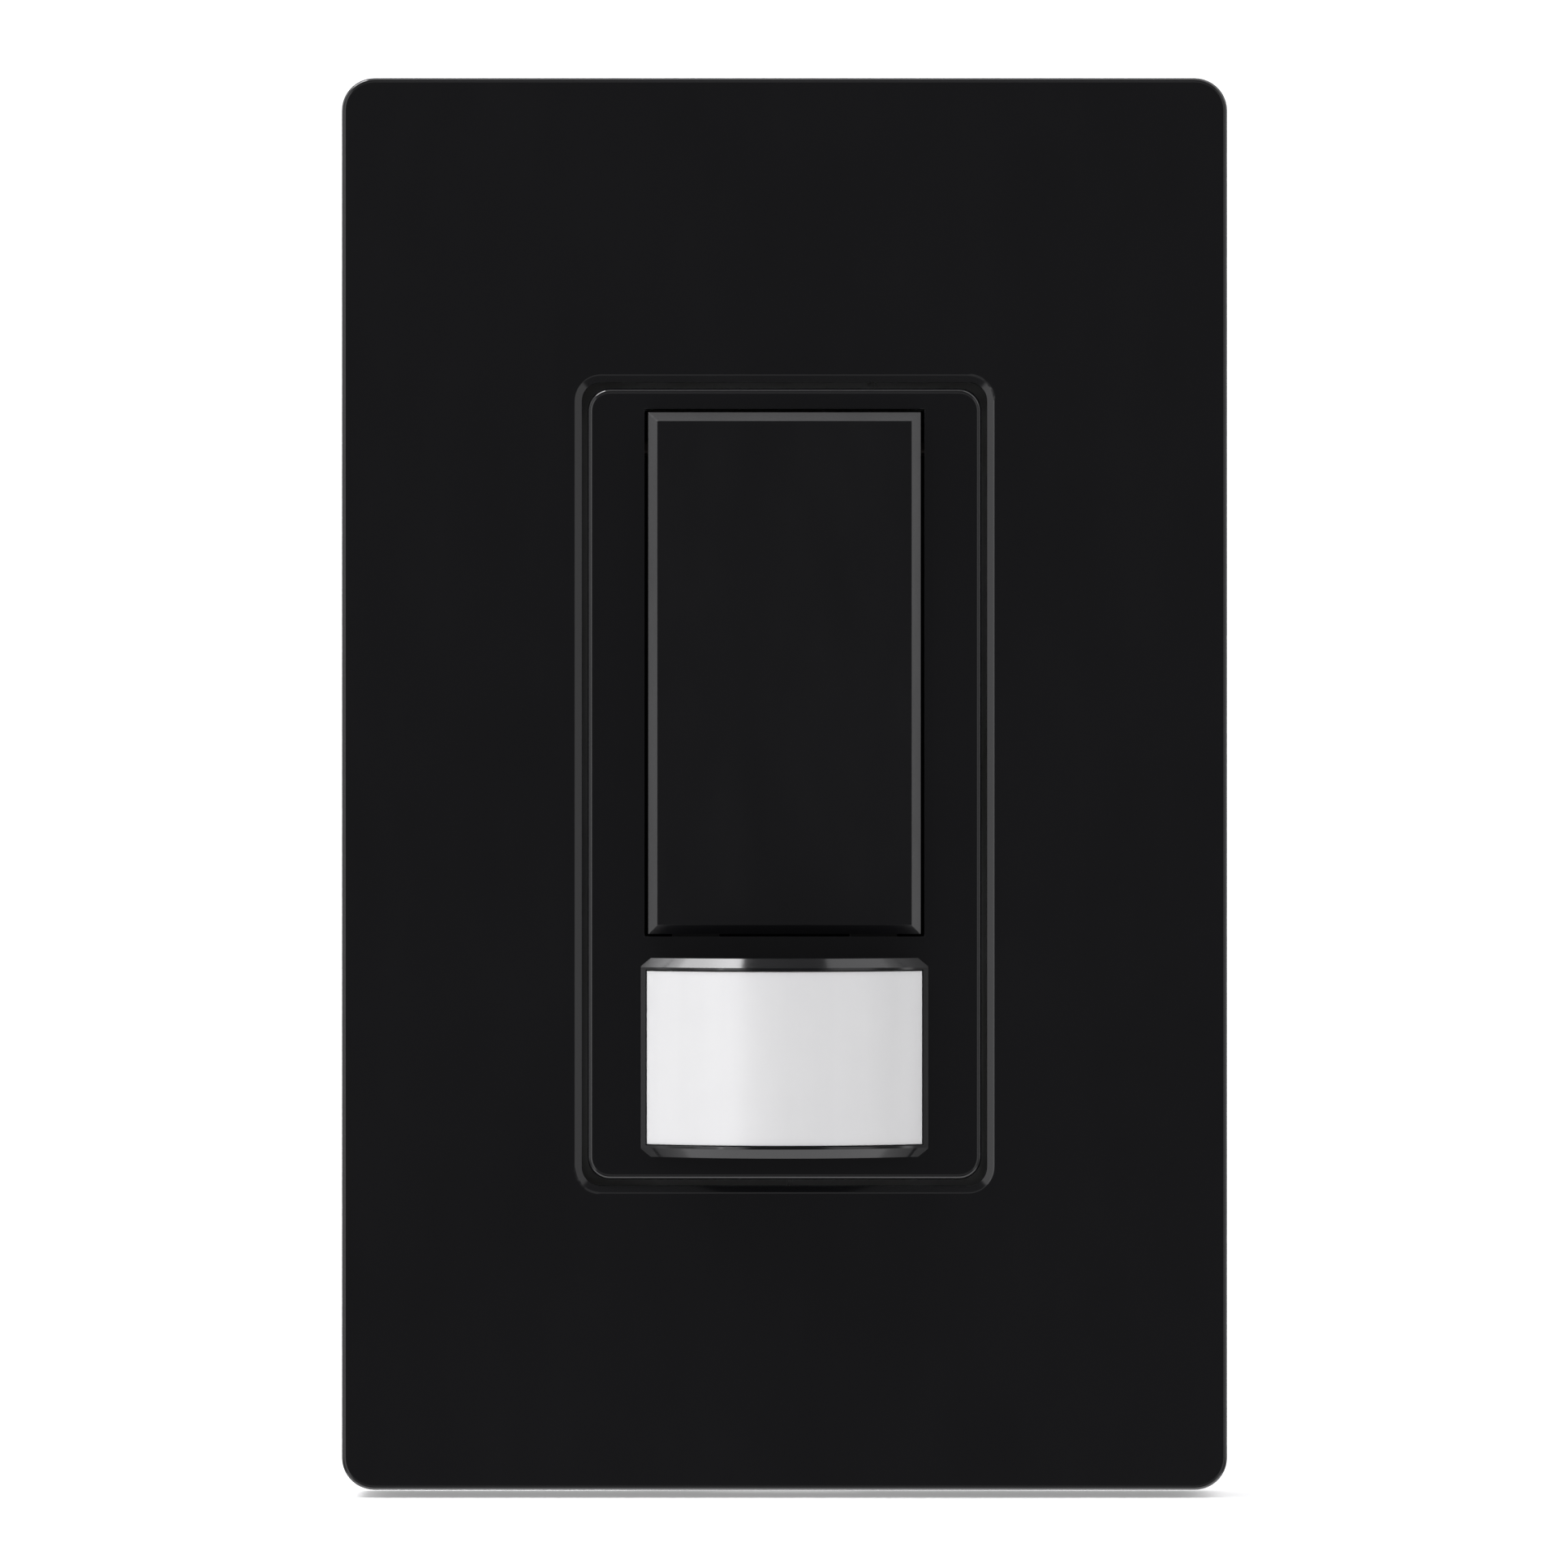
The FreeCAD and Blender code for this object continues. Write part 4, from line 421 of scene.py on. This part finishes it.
# (y, radius) from the back of the box screw's head to its thread
BOX_NECK = [(-1.24, 3.29), (-1.205, 3.22), (-1.2, 1.36), (-0.2, 1.34), (0.42, 1.34)]


def thread_rings(start, end, count, root, crest, lead, tip):
    """Rings of a helical vee thread that fades in and out over lead turns.

    The last two turns taper to the tip radius."""
    def ring(u):
        def radius(angle):
            phase = (u / PITCH - angle / (2 * math.pi)) % 1.0
            rise = 1 - abs(2 * phase - 1)  # 0 at the root, 1 at the crest
            form = min(1.0, max(0.0, (rise - 0.12) / 0.76))
            fade = min(1.0, max(0.0, (u - start) / (lead * PITCH)),
                       max(0.0, (end - u) / (lead * PITCH)))
            taper = 1.0
            if u > end - 2 * PITCH:
                taper = 1 - (1 - tip / root) * ((u - (end - 2 * PITCH)) / (2 * PITCH))
            return (root + (crest - root) * form * fade) * taper
        return u, radius

    return [ring(start + (end - start) * i / count) for i in range(count + 1)]


def screw(name, slot, rings, segments, place, cuts, sharp=35):
    """Skins rings of (distance along, radius); a radius may be a function of the angle."""
    angles = [2 * math.pi * k / segments for k in range(segments)]
    bm = skin_rings([[place(u, radius(a) if callable(radius) else radius, a) for a in angles]
                     for u, radius in rings])
    obj = device_piece(name, bm, slot)
    cut_boxes(obj, cuts)
    mark_sharp(obj.data, sharp)
    return obj


def steel_screw(name, z, head, start, tip_end, crest, tip, cuts):
    """A screw along +Y at height z."""
    root = 1.34
    end = tip_end - THREAD_SHORT
    count = int(round((end - start) / PITCH * RINGS_PER_TURN))
    rings = head + thread_rings(start, end, count, root, crest, lead=1.4, tip=tip)
    rings.append((end + 0.15, tip * 0.86))

    def place(u, r, a):
        return Vector((r * math.cos(a) * MM, u * MM, (z + r * math.sin(a)) * MM))

    return screw(name, "screw_steel", rings, 40, place, cuts)


def cross_slot(front, z, depth):
    """The cut for a slot running along X in a head that faces -Y."""
    return (-4, front - 0.5, z - 0.45), (4, front + depth, z + 0.45)


def box_screw(name, z):
    """Oval-head screw with a slot and a short upright cross slot."""
    low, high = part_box("mounting_screws")
    front = low[1] * 1000
    head = [(front + u, r) for u, r in BOX_HEAD] + BOX_NECK
    upright = (-0.5, front - 0.5, z - 1.7), (0.5, front + 1.15, z + 1.7)
    return steel_screw(name, z, head, start=0.48, tip_end=high[1] * 1000, crest=1.745,
                       tip=0.86, cuts=[cross_slot(front, z, depth=0.9), upright])


def adapter_screw(name, z):
    """Slotted screw with a flat, tapered head."""
    low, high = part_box("adapter_screws")
    front = low[1] * 1000
    head = [(front + u, r) for u, r in ADAPTER_HEAD]
    return steel_screw(name, z, head, start=front + 1.35, tip_end=high[1] * 1000, crest=1.715,
                       tip=1.05, cuts=[cross_slot(front, z, depth=0.7)])


def hexagon(flat):
    """Radius by angle of a hexagon whose flats are this far from its centre."""
    sixth = math.pi / 3
    return lambda a: flat / math.cos(((a + math.pi / 6) % sixth) - math.pi / 6)


def earth_screw(name):
    """Green screw along +X with a washered, slotted hexagon head."""
    low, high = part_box("ground_screw")
    y, z = (low[1] + high[1]) / 2 * 1000, (low[2] + high[2]) / 2 * 1000
    front, tip_end = low[0] * 1000, high[0] * 1000
    head = [(0, 0.01), (0, 2.4), (0.12, hexagon(2.62)), (0.4, hexagon(2.76)),
            (1.8, hexagon(2.76)), (1.86, 3.3), (1.95, 3.92), (2.1, 3.99)]
    rings = [(front + u, r) for u, r in head]
    rings += [(-16.76, 3.99), (-16.72, 3.9), (-16.72, 1.9), (-15.55, 1.88)]
    start, end = -15.5, tip_end - THREAD_SHORT
    root = 1.46
    count = int((end - start) / PITCH * RINGS_PER_TURN)
    rings += thread_rings(start, end, count, root, crest=1.89, lead=1, tip=root)
    rings.append((tip_end, 1.15))

    def place(u, r, a):
        return Vector((u * MM, (y + r * math.cos(a)) * MM, (z + r * math.sin(a)) * MM))

    slot_cut = (front - 0.5, y - 4, z - 0.5), (front + 1.0, y + 4, z + 0.5)
    return screw(name, "ground_green", rings, 48, place, [slot_cut], sharp=30)


for tag, side in (("lower", -1), ("upper", 1)):
    mounting = box_screw(f"box_screw_{tag}", side * BOX_SCREW_Z)
    adapter = adapter_screw(f"adapter_screw_{tag}", side * ADAPTER_SCREW_Z)
    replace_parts(mounting, "mounting_screws")
    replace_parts(adapter, "adapter_screws")
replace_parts(earth_screw("earth_screw"), "ground_screw")


# -------------------------------------------------------------- coil springs
SPRING_X, SPRING_Z = 6.8, -6.0  # millimetres; one spring each side of the centre
COIL_RADIUS = 1.75 * MM
WIRE_RADIUS = 0.16 * MM
TURNS = 6.5
CLOSED_TURNS = 1.1              # turns lying close together at each end
STEPS_PER_TURN, WIRE_SIDES = 28, 8


def coil(name, x, z, back, front):
    """Compression spring along Y, from its fixed back end to the paddle."""
    steps = int(TURNS * STEPS_PER_TURN)
    lay = -2.1 * WIRE_RADIUS * 0.95  # y per closed turn
    open_start, open_end = back + lay * CLOSED_TURNS, front - lay * CLOSED_TURNS
    path = []
    for i in range(steps + 1):
        turn = TURNS * i / steps
        if turn < CLOSED_TURNS:
            y = back + lay * turn
        elif turn > TURNS - CLOSED_TURNS:
            y = front - lay * (TURNS - turn)
        else:
            share = (turn - CLOSED_TURNS) / (TURNS - 2 * CLOSED_TURNS)
            y = open_start + (open_end - open_start) * share
        angle = 2 * math.pi * turn
        path.append(Vector((x + COIL_RADIUS * math.cos(angle), y,
                            z + COIL_RADIUS * math.sin(angle))))
    rings = []
    for i, p in enumerate(path):
        along = (path[min(i + 1, steps)] - path[max(i - 1, 0)]).normalized()
        out = Vector((p.x - x, 0, p.z - z)).normalized()
        up = along.cross(out).normalized()
        out = up.cross(along)
        angles = [2 * math.pi * k / WIRE_SIDES for k in range(WIRE_SIDES)]
        rings.append([p + (out * math.cos(a) + up * math.sin(a)) * WIRE_RADIUS for a in angles])
    return device_piece(name, skin_rings(rings), "spring_steel", sharp=60)


spring_low, spring_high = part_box("paddle_springs")
spring_back = spring_high[1] - WIRE_RADIUS
spring_front = spring_low[1] + WIRE_RADIUS
for tag, side in (("left", -1), ("right", 1)):
    x, z = side * SPRING_X * MM, SPRING_Z * MM
    spring = coil(f"return_spring_{tag}", x, z, spring_back, spring_front)
    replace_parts(spring, "paddle_springs")
    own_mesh(spring)


# --------------------------------------------------------- facets in the lens
def lens_facets():
    """Thin curved sheet inside the lens, with concentric grooves in a 7 by 3 array behind."""
    low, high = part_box("fresnel_lens")
    face_radius = 18.214 * MM - 0.06 * MM          # curve of the lens's front
    radius = face_radius - 0.8 * MM - 0.05 * MM    # curve of the sheet's front
    center_y, center_z = low[1] + face_radius, (low[2] + high[2]) / 2
    half_angle = math.asin(10.6 * MM / radius)
    half_height = 6.3 * MM
    across, upward = 210, 90                       # grid steps
    cell_width = 2 * half_angle * radius / 7
    cell_height = 2 * half_height / 3
    sheet, groove_depth, groove_pitch = 0.10 * MM, 0.16 * MM, 0.42 * MM
    bm = bmesh.new()

    def thickness(angle, z):
        from_side, from_bottom = angle * radius + half_angle * radius, z + half_height
        cell_x = (from_side % cell_width) - cell_width / 2
        cell_z = (from_bottom % cell_height) - cell_height / 2
        return sheet + groove_depth * ((math.hypot(cell_x, cell_z) / groove_pitch) % 1.0)

    def grid(grooved):
        columns = []
        for i in range(across + 1):
            angle = -half_angle + 2 * half_angle * i / across
            column = []
            for k in range(upward + 1):
                z = -half_height + 2 * half_height * k / upward
                r = radius - (thickness(angle, z) if grooved else 0.0)
                column.append(bm.verts.new((r * math.sin(angle), center_y - r * math.cos(angle),
                                            center_z + z)))
            columns.append(column)
        return columns

    A, B = grid(False), grid(True)  # front and back
    for i in range(across):
        for k in range(upward):
            bm.faces.new((A[i][k], A[i][k + 1], A[i + 1][k + 1], A[i + 1][k]))
            bm.faces.new((B[i][k], B[i + 1][k], B[i + 1][k + 1], B[i][k + 1]))
    for i in range(across):
        bm.faces.new((A[i][0], A[i + 1][0], B[i + 1][0], B[i][0]))
        bm.faces.new((A[i][-1], B[i][-1], B[i + 1][-1], A[i + 1][-1]))
    for k in range(upward):
        bm.faces.new((A[0][k], B[0][k], B[0][k + 1], A[0][k + 1]))
        bm.faces.new((A[-1][k], A[-1][k + 1], B[-1][k + 1], B[-1][k]))
    bmesh.ops.recalc_face_normals(bm, faces=bm.faces)
    device_piece("lens_facets", bm, "lens_plastic", sharp=60)


lens_facets()


# ---------------------------------------------------------------------- stage
def floor_material(name):
    m = Material(name)
    color = (0.90, 0.90, 0.90)
    drift = m.noise(scale=3.0, detail=2.0)
    m.surface(Base_Color=m.mix(drift, shade(color, 0.99), color), Roughness=0.9,
              Specular_IOR_Level=0.1, Emission_Strength=0.25, Emission_Color=(1, 1, 1, 1))
    return MATERIALS[name]


def sweep_floor():
    """Pale floor that curves up into a backdrop behind the object."""
    floor_z, back, bend, top, half_width = -0.0602, 1.6, 0.6, 2.6, 3.4
    bend_steps = 24
    profile = [(-2.6, floor_z), (-1.2, floor_z), (back - bend, floor_z)]
    for i in range(1, bend_steps + 1):
        a = math.pi / 2 * i / bend_steps
        profile.append((back - bend + bend * math.sin(a), floor_z + bend - bend * math.cos(a)))
    profile.append((back, top))
    columns = (-half_width, -half_width / 3, half_width / 3, half_width)
    bm = bmesh.new()
    rows = [[bm.verts.new((x, y, z)) for x in columns] for y, z in profile]
    for a, b in zip(rows, rows[1:]):
        for k in range(3):
            bm.faces.new((a[k], a[k + 1], b[k + 1], b[k]))
    floor = add_object("floor", bm)
    smooth_and_dress(floor, floor_material("floor_white"))
    # the floor takes shadows; the room's own light pattern stands in for its bounce
    floor.visible_glossy = False
    floor.visible_diffuse = False
    floor.visible_shadow = False
    floor.visible_transmission = False


sweep_floor()


# ---------------------------------------------------------------------- light
def strip_light():
    """A narrow strip that draws the soft band down the lens."""
    light = bpy.data.lights.new("strip_left", "AREA")
    light.shape = "RECTANGLE"
    light.size, light.size_y = 0.05, 0.55
    light.energy = 0.2
    strip = bpy.data.objects.new("strip_left", light)
    bpy.context.scene.collection.objects.link(strip)
    strip.location = (-0.678, -0.99, 0.0)
    toward_origin = -Vector(strip.location)
    strip.rotation_euler = toward_origin.to_track_quat("-Z", "Y").to_euler()
    strip.visible_camera = False


strip_light()

# brightness, in the scale where a white card facing the camera reads just under 1
FRONT, WALL, RING, BACK, SOFTBOX, PANEL = 0.10, 1.0, 1.95, 1.1, 15.0, 1.0


class Room(Graph):
    """World light as brightness over all directions x, y, z; the camera sees plain white."""

    def __init__(self):
        world = bpy.data.worlds.new("studio")
        bpy.context.scene.world = world
        world.use_nodes = True
        super().__init__(world.node_tree)
        output = self.add("OutputWorld")
        mix = self.add("MixShader")
        seen = self.add("Background", Color=(1, 1, 1, 1), Strength=1.0)
        self.lit = self.add("Background", Color=(1.0, 0.995, 1.01, 1))
        camera_ray = self.add("LightPath").outputs["Is Camera Ray"]
        self.fill(mix, camera_ray, self.lit.outputs[0], seen.outputs[0])
        self.feed(output, Surface=mix.outputs[0])
        direction = self.add("TexCoord").outputs["Generated"]
        self.x, self.y, self.z = self.add("SeparateXYZ", Vector=direction).outputs

    def fade(self, source, off, on, low=0.0, high=1.0):
        """Runs smoothly from low at off to high at on."""
        return self.span(source, low, high, start=off, end=on, curve="SMOOTHSTEP")

    def both(self, *masks):
        product = masks[0]
        for mask in masks[1:]:
            product = self.math("MULTIPLY", product, mask)
        return product

    def blend(self, base, mask, level):
        """base where the mask is 0, level where it is 1"""
        change = self.math("SUBTRACT", level, base)
        return self.math("ADD", base, self.math("MULTIPLY", mask, change))


def front_light(room, absx, absz):
    """The dim patch round the camera, and the brighter parts beside, above and below it."""
    fade, both, blend = room.fade, room.both, room.blend
    x, y = room.x, room.y
    # narrow band above and below the camera
    band = both(fade(absz, off=0.20, on=0.28), fade(y, off=-0.84, on=-0.88))
    level = blend(FRONT, band, level=0.55)
    # dim room beyond the band
    beyond = both(fade(absz, off=0.30, on=0.45), fade(y, off=-0.88, on=-0.84))
    level = blend(level, beyond, level=0.16)
    # bright walls left and right
    slant = room.math("SUBTRACT", absx, room.math("MULTIPLY", absz, 0.8))
    sideways = fade(slant, off=0.05, on=0.15)
    left = both(sideways, fade(x, off=-0.22, on=-0.32), fade(y, off=-0.955, on=-0.90))
    left_level = room.math("MULTIPLY",
                           fade(y, off=-0.87, on=-0.80, low=1.9 * WALL, high=1.4 * WALL),
                           fade(y, off=-0.69, on=-0.63, low=1.0, high=0.5))
    level = blend(level, left, left_level)
    right = both(sideways, fade(x, off=0.22, on=0.32), fade(y, off=-0.955, on=-0.88))
    return blend(level, right, WALL)


def light_room():
    room = Room()
    fade, both, blend = room.fade, room.both, room.blend
    x, y, z = room.x, room.y, room.z
    absx, absz = room.math("ABSOLUTE", x), room.math("ABSOLUTE", z)
    front = front_light(room, absx, absz)
    # broad white walls round the dim front
    level = blend(front, fade(y, off=-0.44, on=-0.36), RING)
    # tall panel on the left, weaker low down
    panel = both(fade(y, off=-0.46, on=-0.38), fade(y, off=-0.14, on=-0.22),
                 fade(x, off=-0.5, on=-0.65), fade(z, off=-0.75, on=0.30, low=0.25, high=1.0))
    level = blend(level, panel, PANEL)
    # dim stretch on the right, towards the front
    dim = both(fade(y, off=-0.70, on=-0.60), fade(y, off=-0.36, on=-0.46),
               fade(x, off=0.45, on=0.65))
    level = blend(level, dim, level=0.25)
    # dim patches straight out at both sides
    sides = both(fade(absx, off=0.90, on=0.95), fade(y, off=-0.32, on=-0.26),
                 fade(y, off=-0.07, on=-0.13))
    level = blend(level, sides, fade(x, off=-0.1, on=0.1, low=0.58, high=0.35))
    # side walls are darker low down, so that screw heads and threads show their shape
    low_walls = both(fade(absx, off=0.78, on=0.86), fade(z, off=-0.08, on=-0.26))
    level = blend(level, low_walls, level=0.45)
    level = blend(level, fade(y, off=0.35, on=0.6), BACK)
    # the bright band reaches further forward under the object
    under = both(fade(z, off=-0.45, on=-0.75), fade(y, off=-0.60, on=-0.50))
    level = blend(level, under, RING)
    # dim gap overhead in front, between the soft box and the right wall
    gap = both(fade(absx, off=0.25, on=0.24), fade(z, off=0.80, on=0.84),
               fade(y, off=-0.10, on=-0.15), fade(y, off=-0.33, on=-0.28))
    level = blend(level, gap, level=0.30)
    high_right = both(fade(x, off=0.24, on=0.25), fade(z, off=0.60, on=0.70),
                      fade(y, off=-0.45, on=-0.38))
    level = blend(level, high_right, RING)
    # soft box high on the left
    softbox = both(fade(x, off=-0.24, on=-0.25), fade(x, off=-0.72, on=-0.60),
                   fade(z, off=0.68, on=0.76), fade(y, off=-0.34, on=-0.30),
                   fade(y, off=0.16, on=0.08))
    level = blend(level, softbox,
                  fade(x, off=-0.28, on=-0.50, low=SOFTBOX, high=0.7 * SOFTBOX))
    room.feed(room.lit, Strength=level)


light_room()


# --------------------------------------------------------------------- camera
def place_camera(scene):
    """A level camera looking along +Y, whose view is 0.1322 wide at a distance of 0.8."""
    sensor = 36.0
    data = bpy.data.cameras.new("camera")
    data.sensor_width = sensor
    data.lens = sensor * 0.800 / 0.1322
    data.clip_start = 0.01
    data.clip_end = 20.0
    data.shift_x = -0.0003
    camera = bpy.data.objects.new("camera", data)
    scene.collection.objects.link(camera)
    camera.location = (0.0, -0.8086, 0.0)
    camera.rotation_euler = (math.pi / 2, 0.0, 0.0)
    scene.camera = camera


scene = bpy.context.scene
scene.view_settings.view_transform = "Standard"
scene.view_settings.look = "None"
scene.view_settings.exposure = 0.0
scene.view_settings.gamma = 1.0
place_camera(scene)
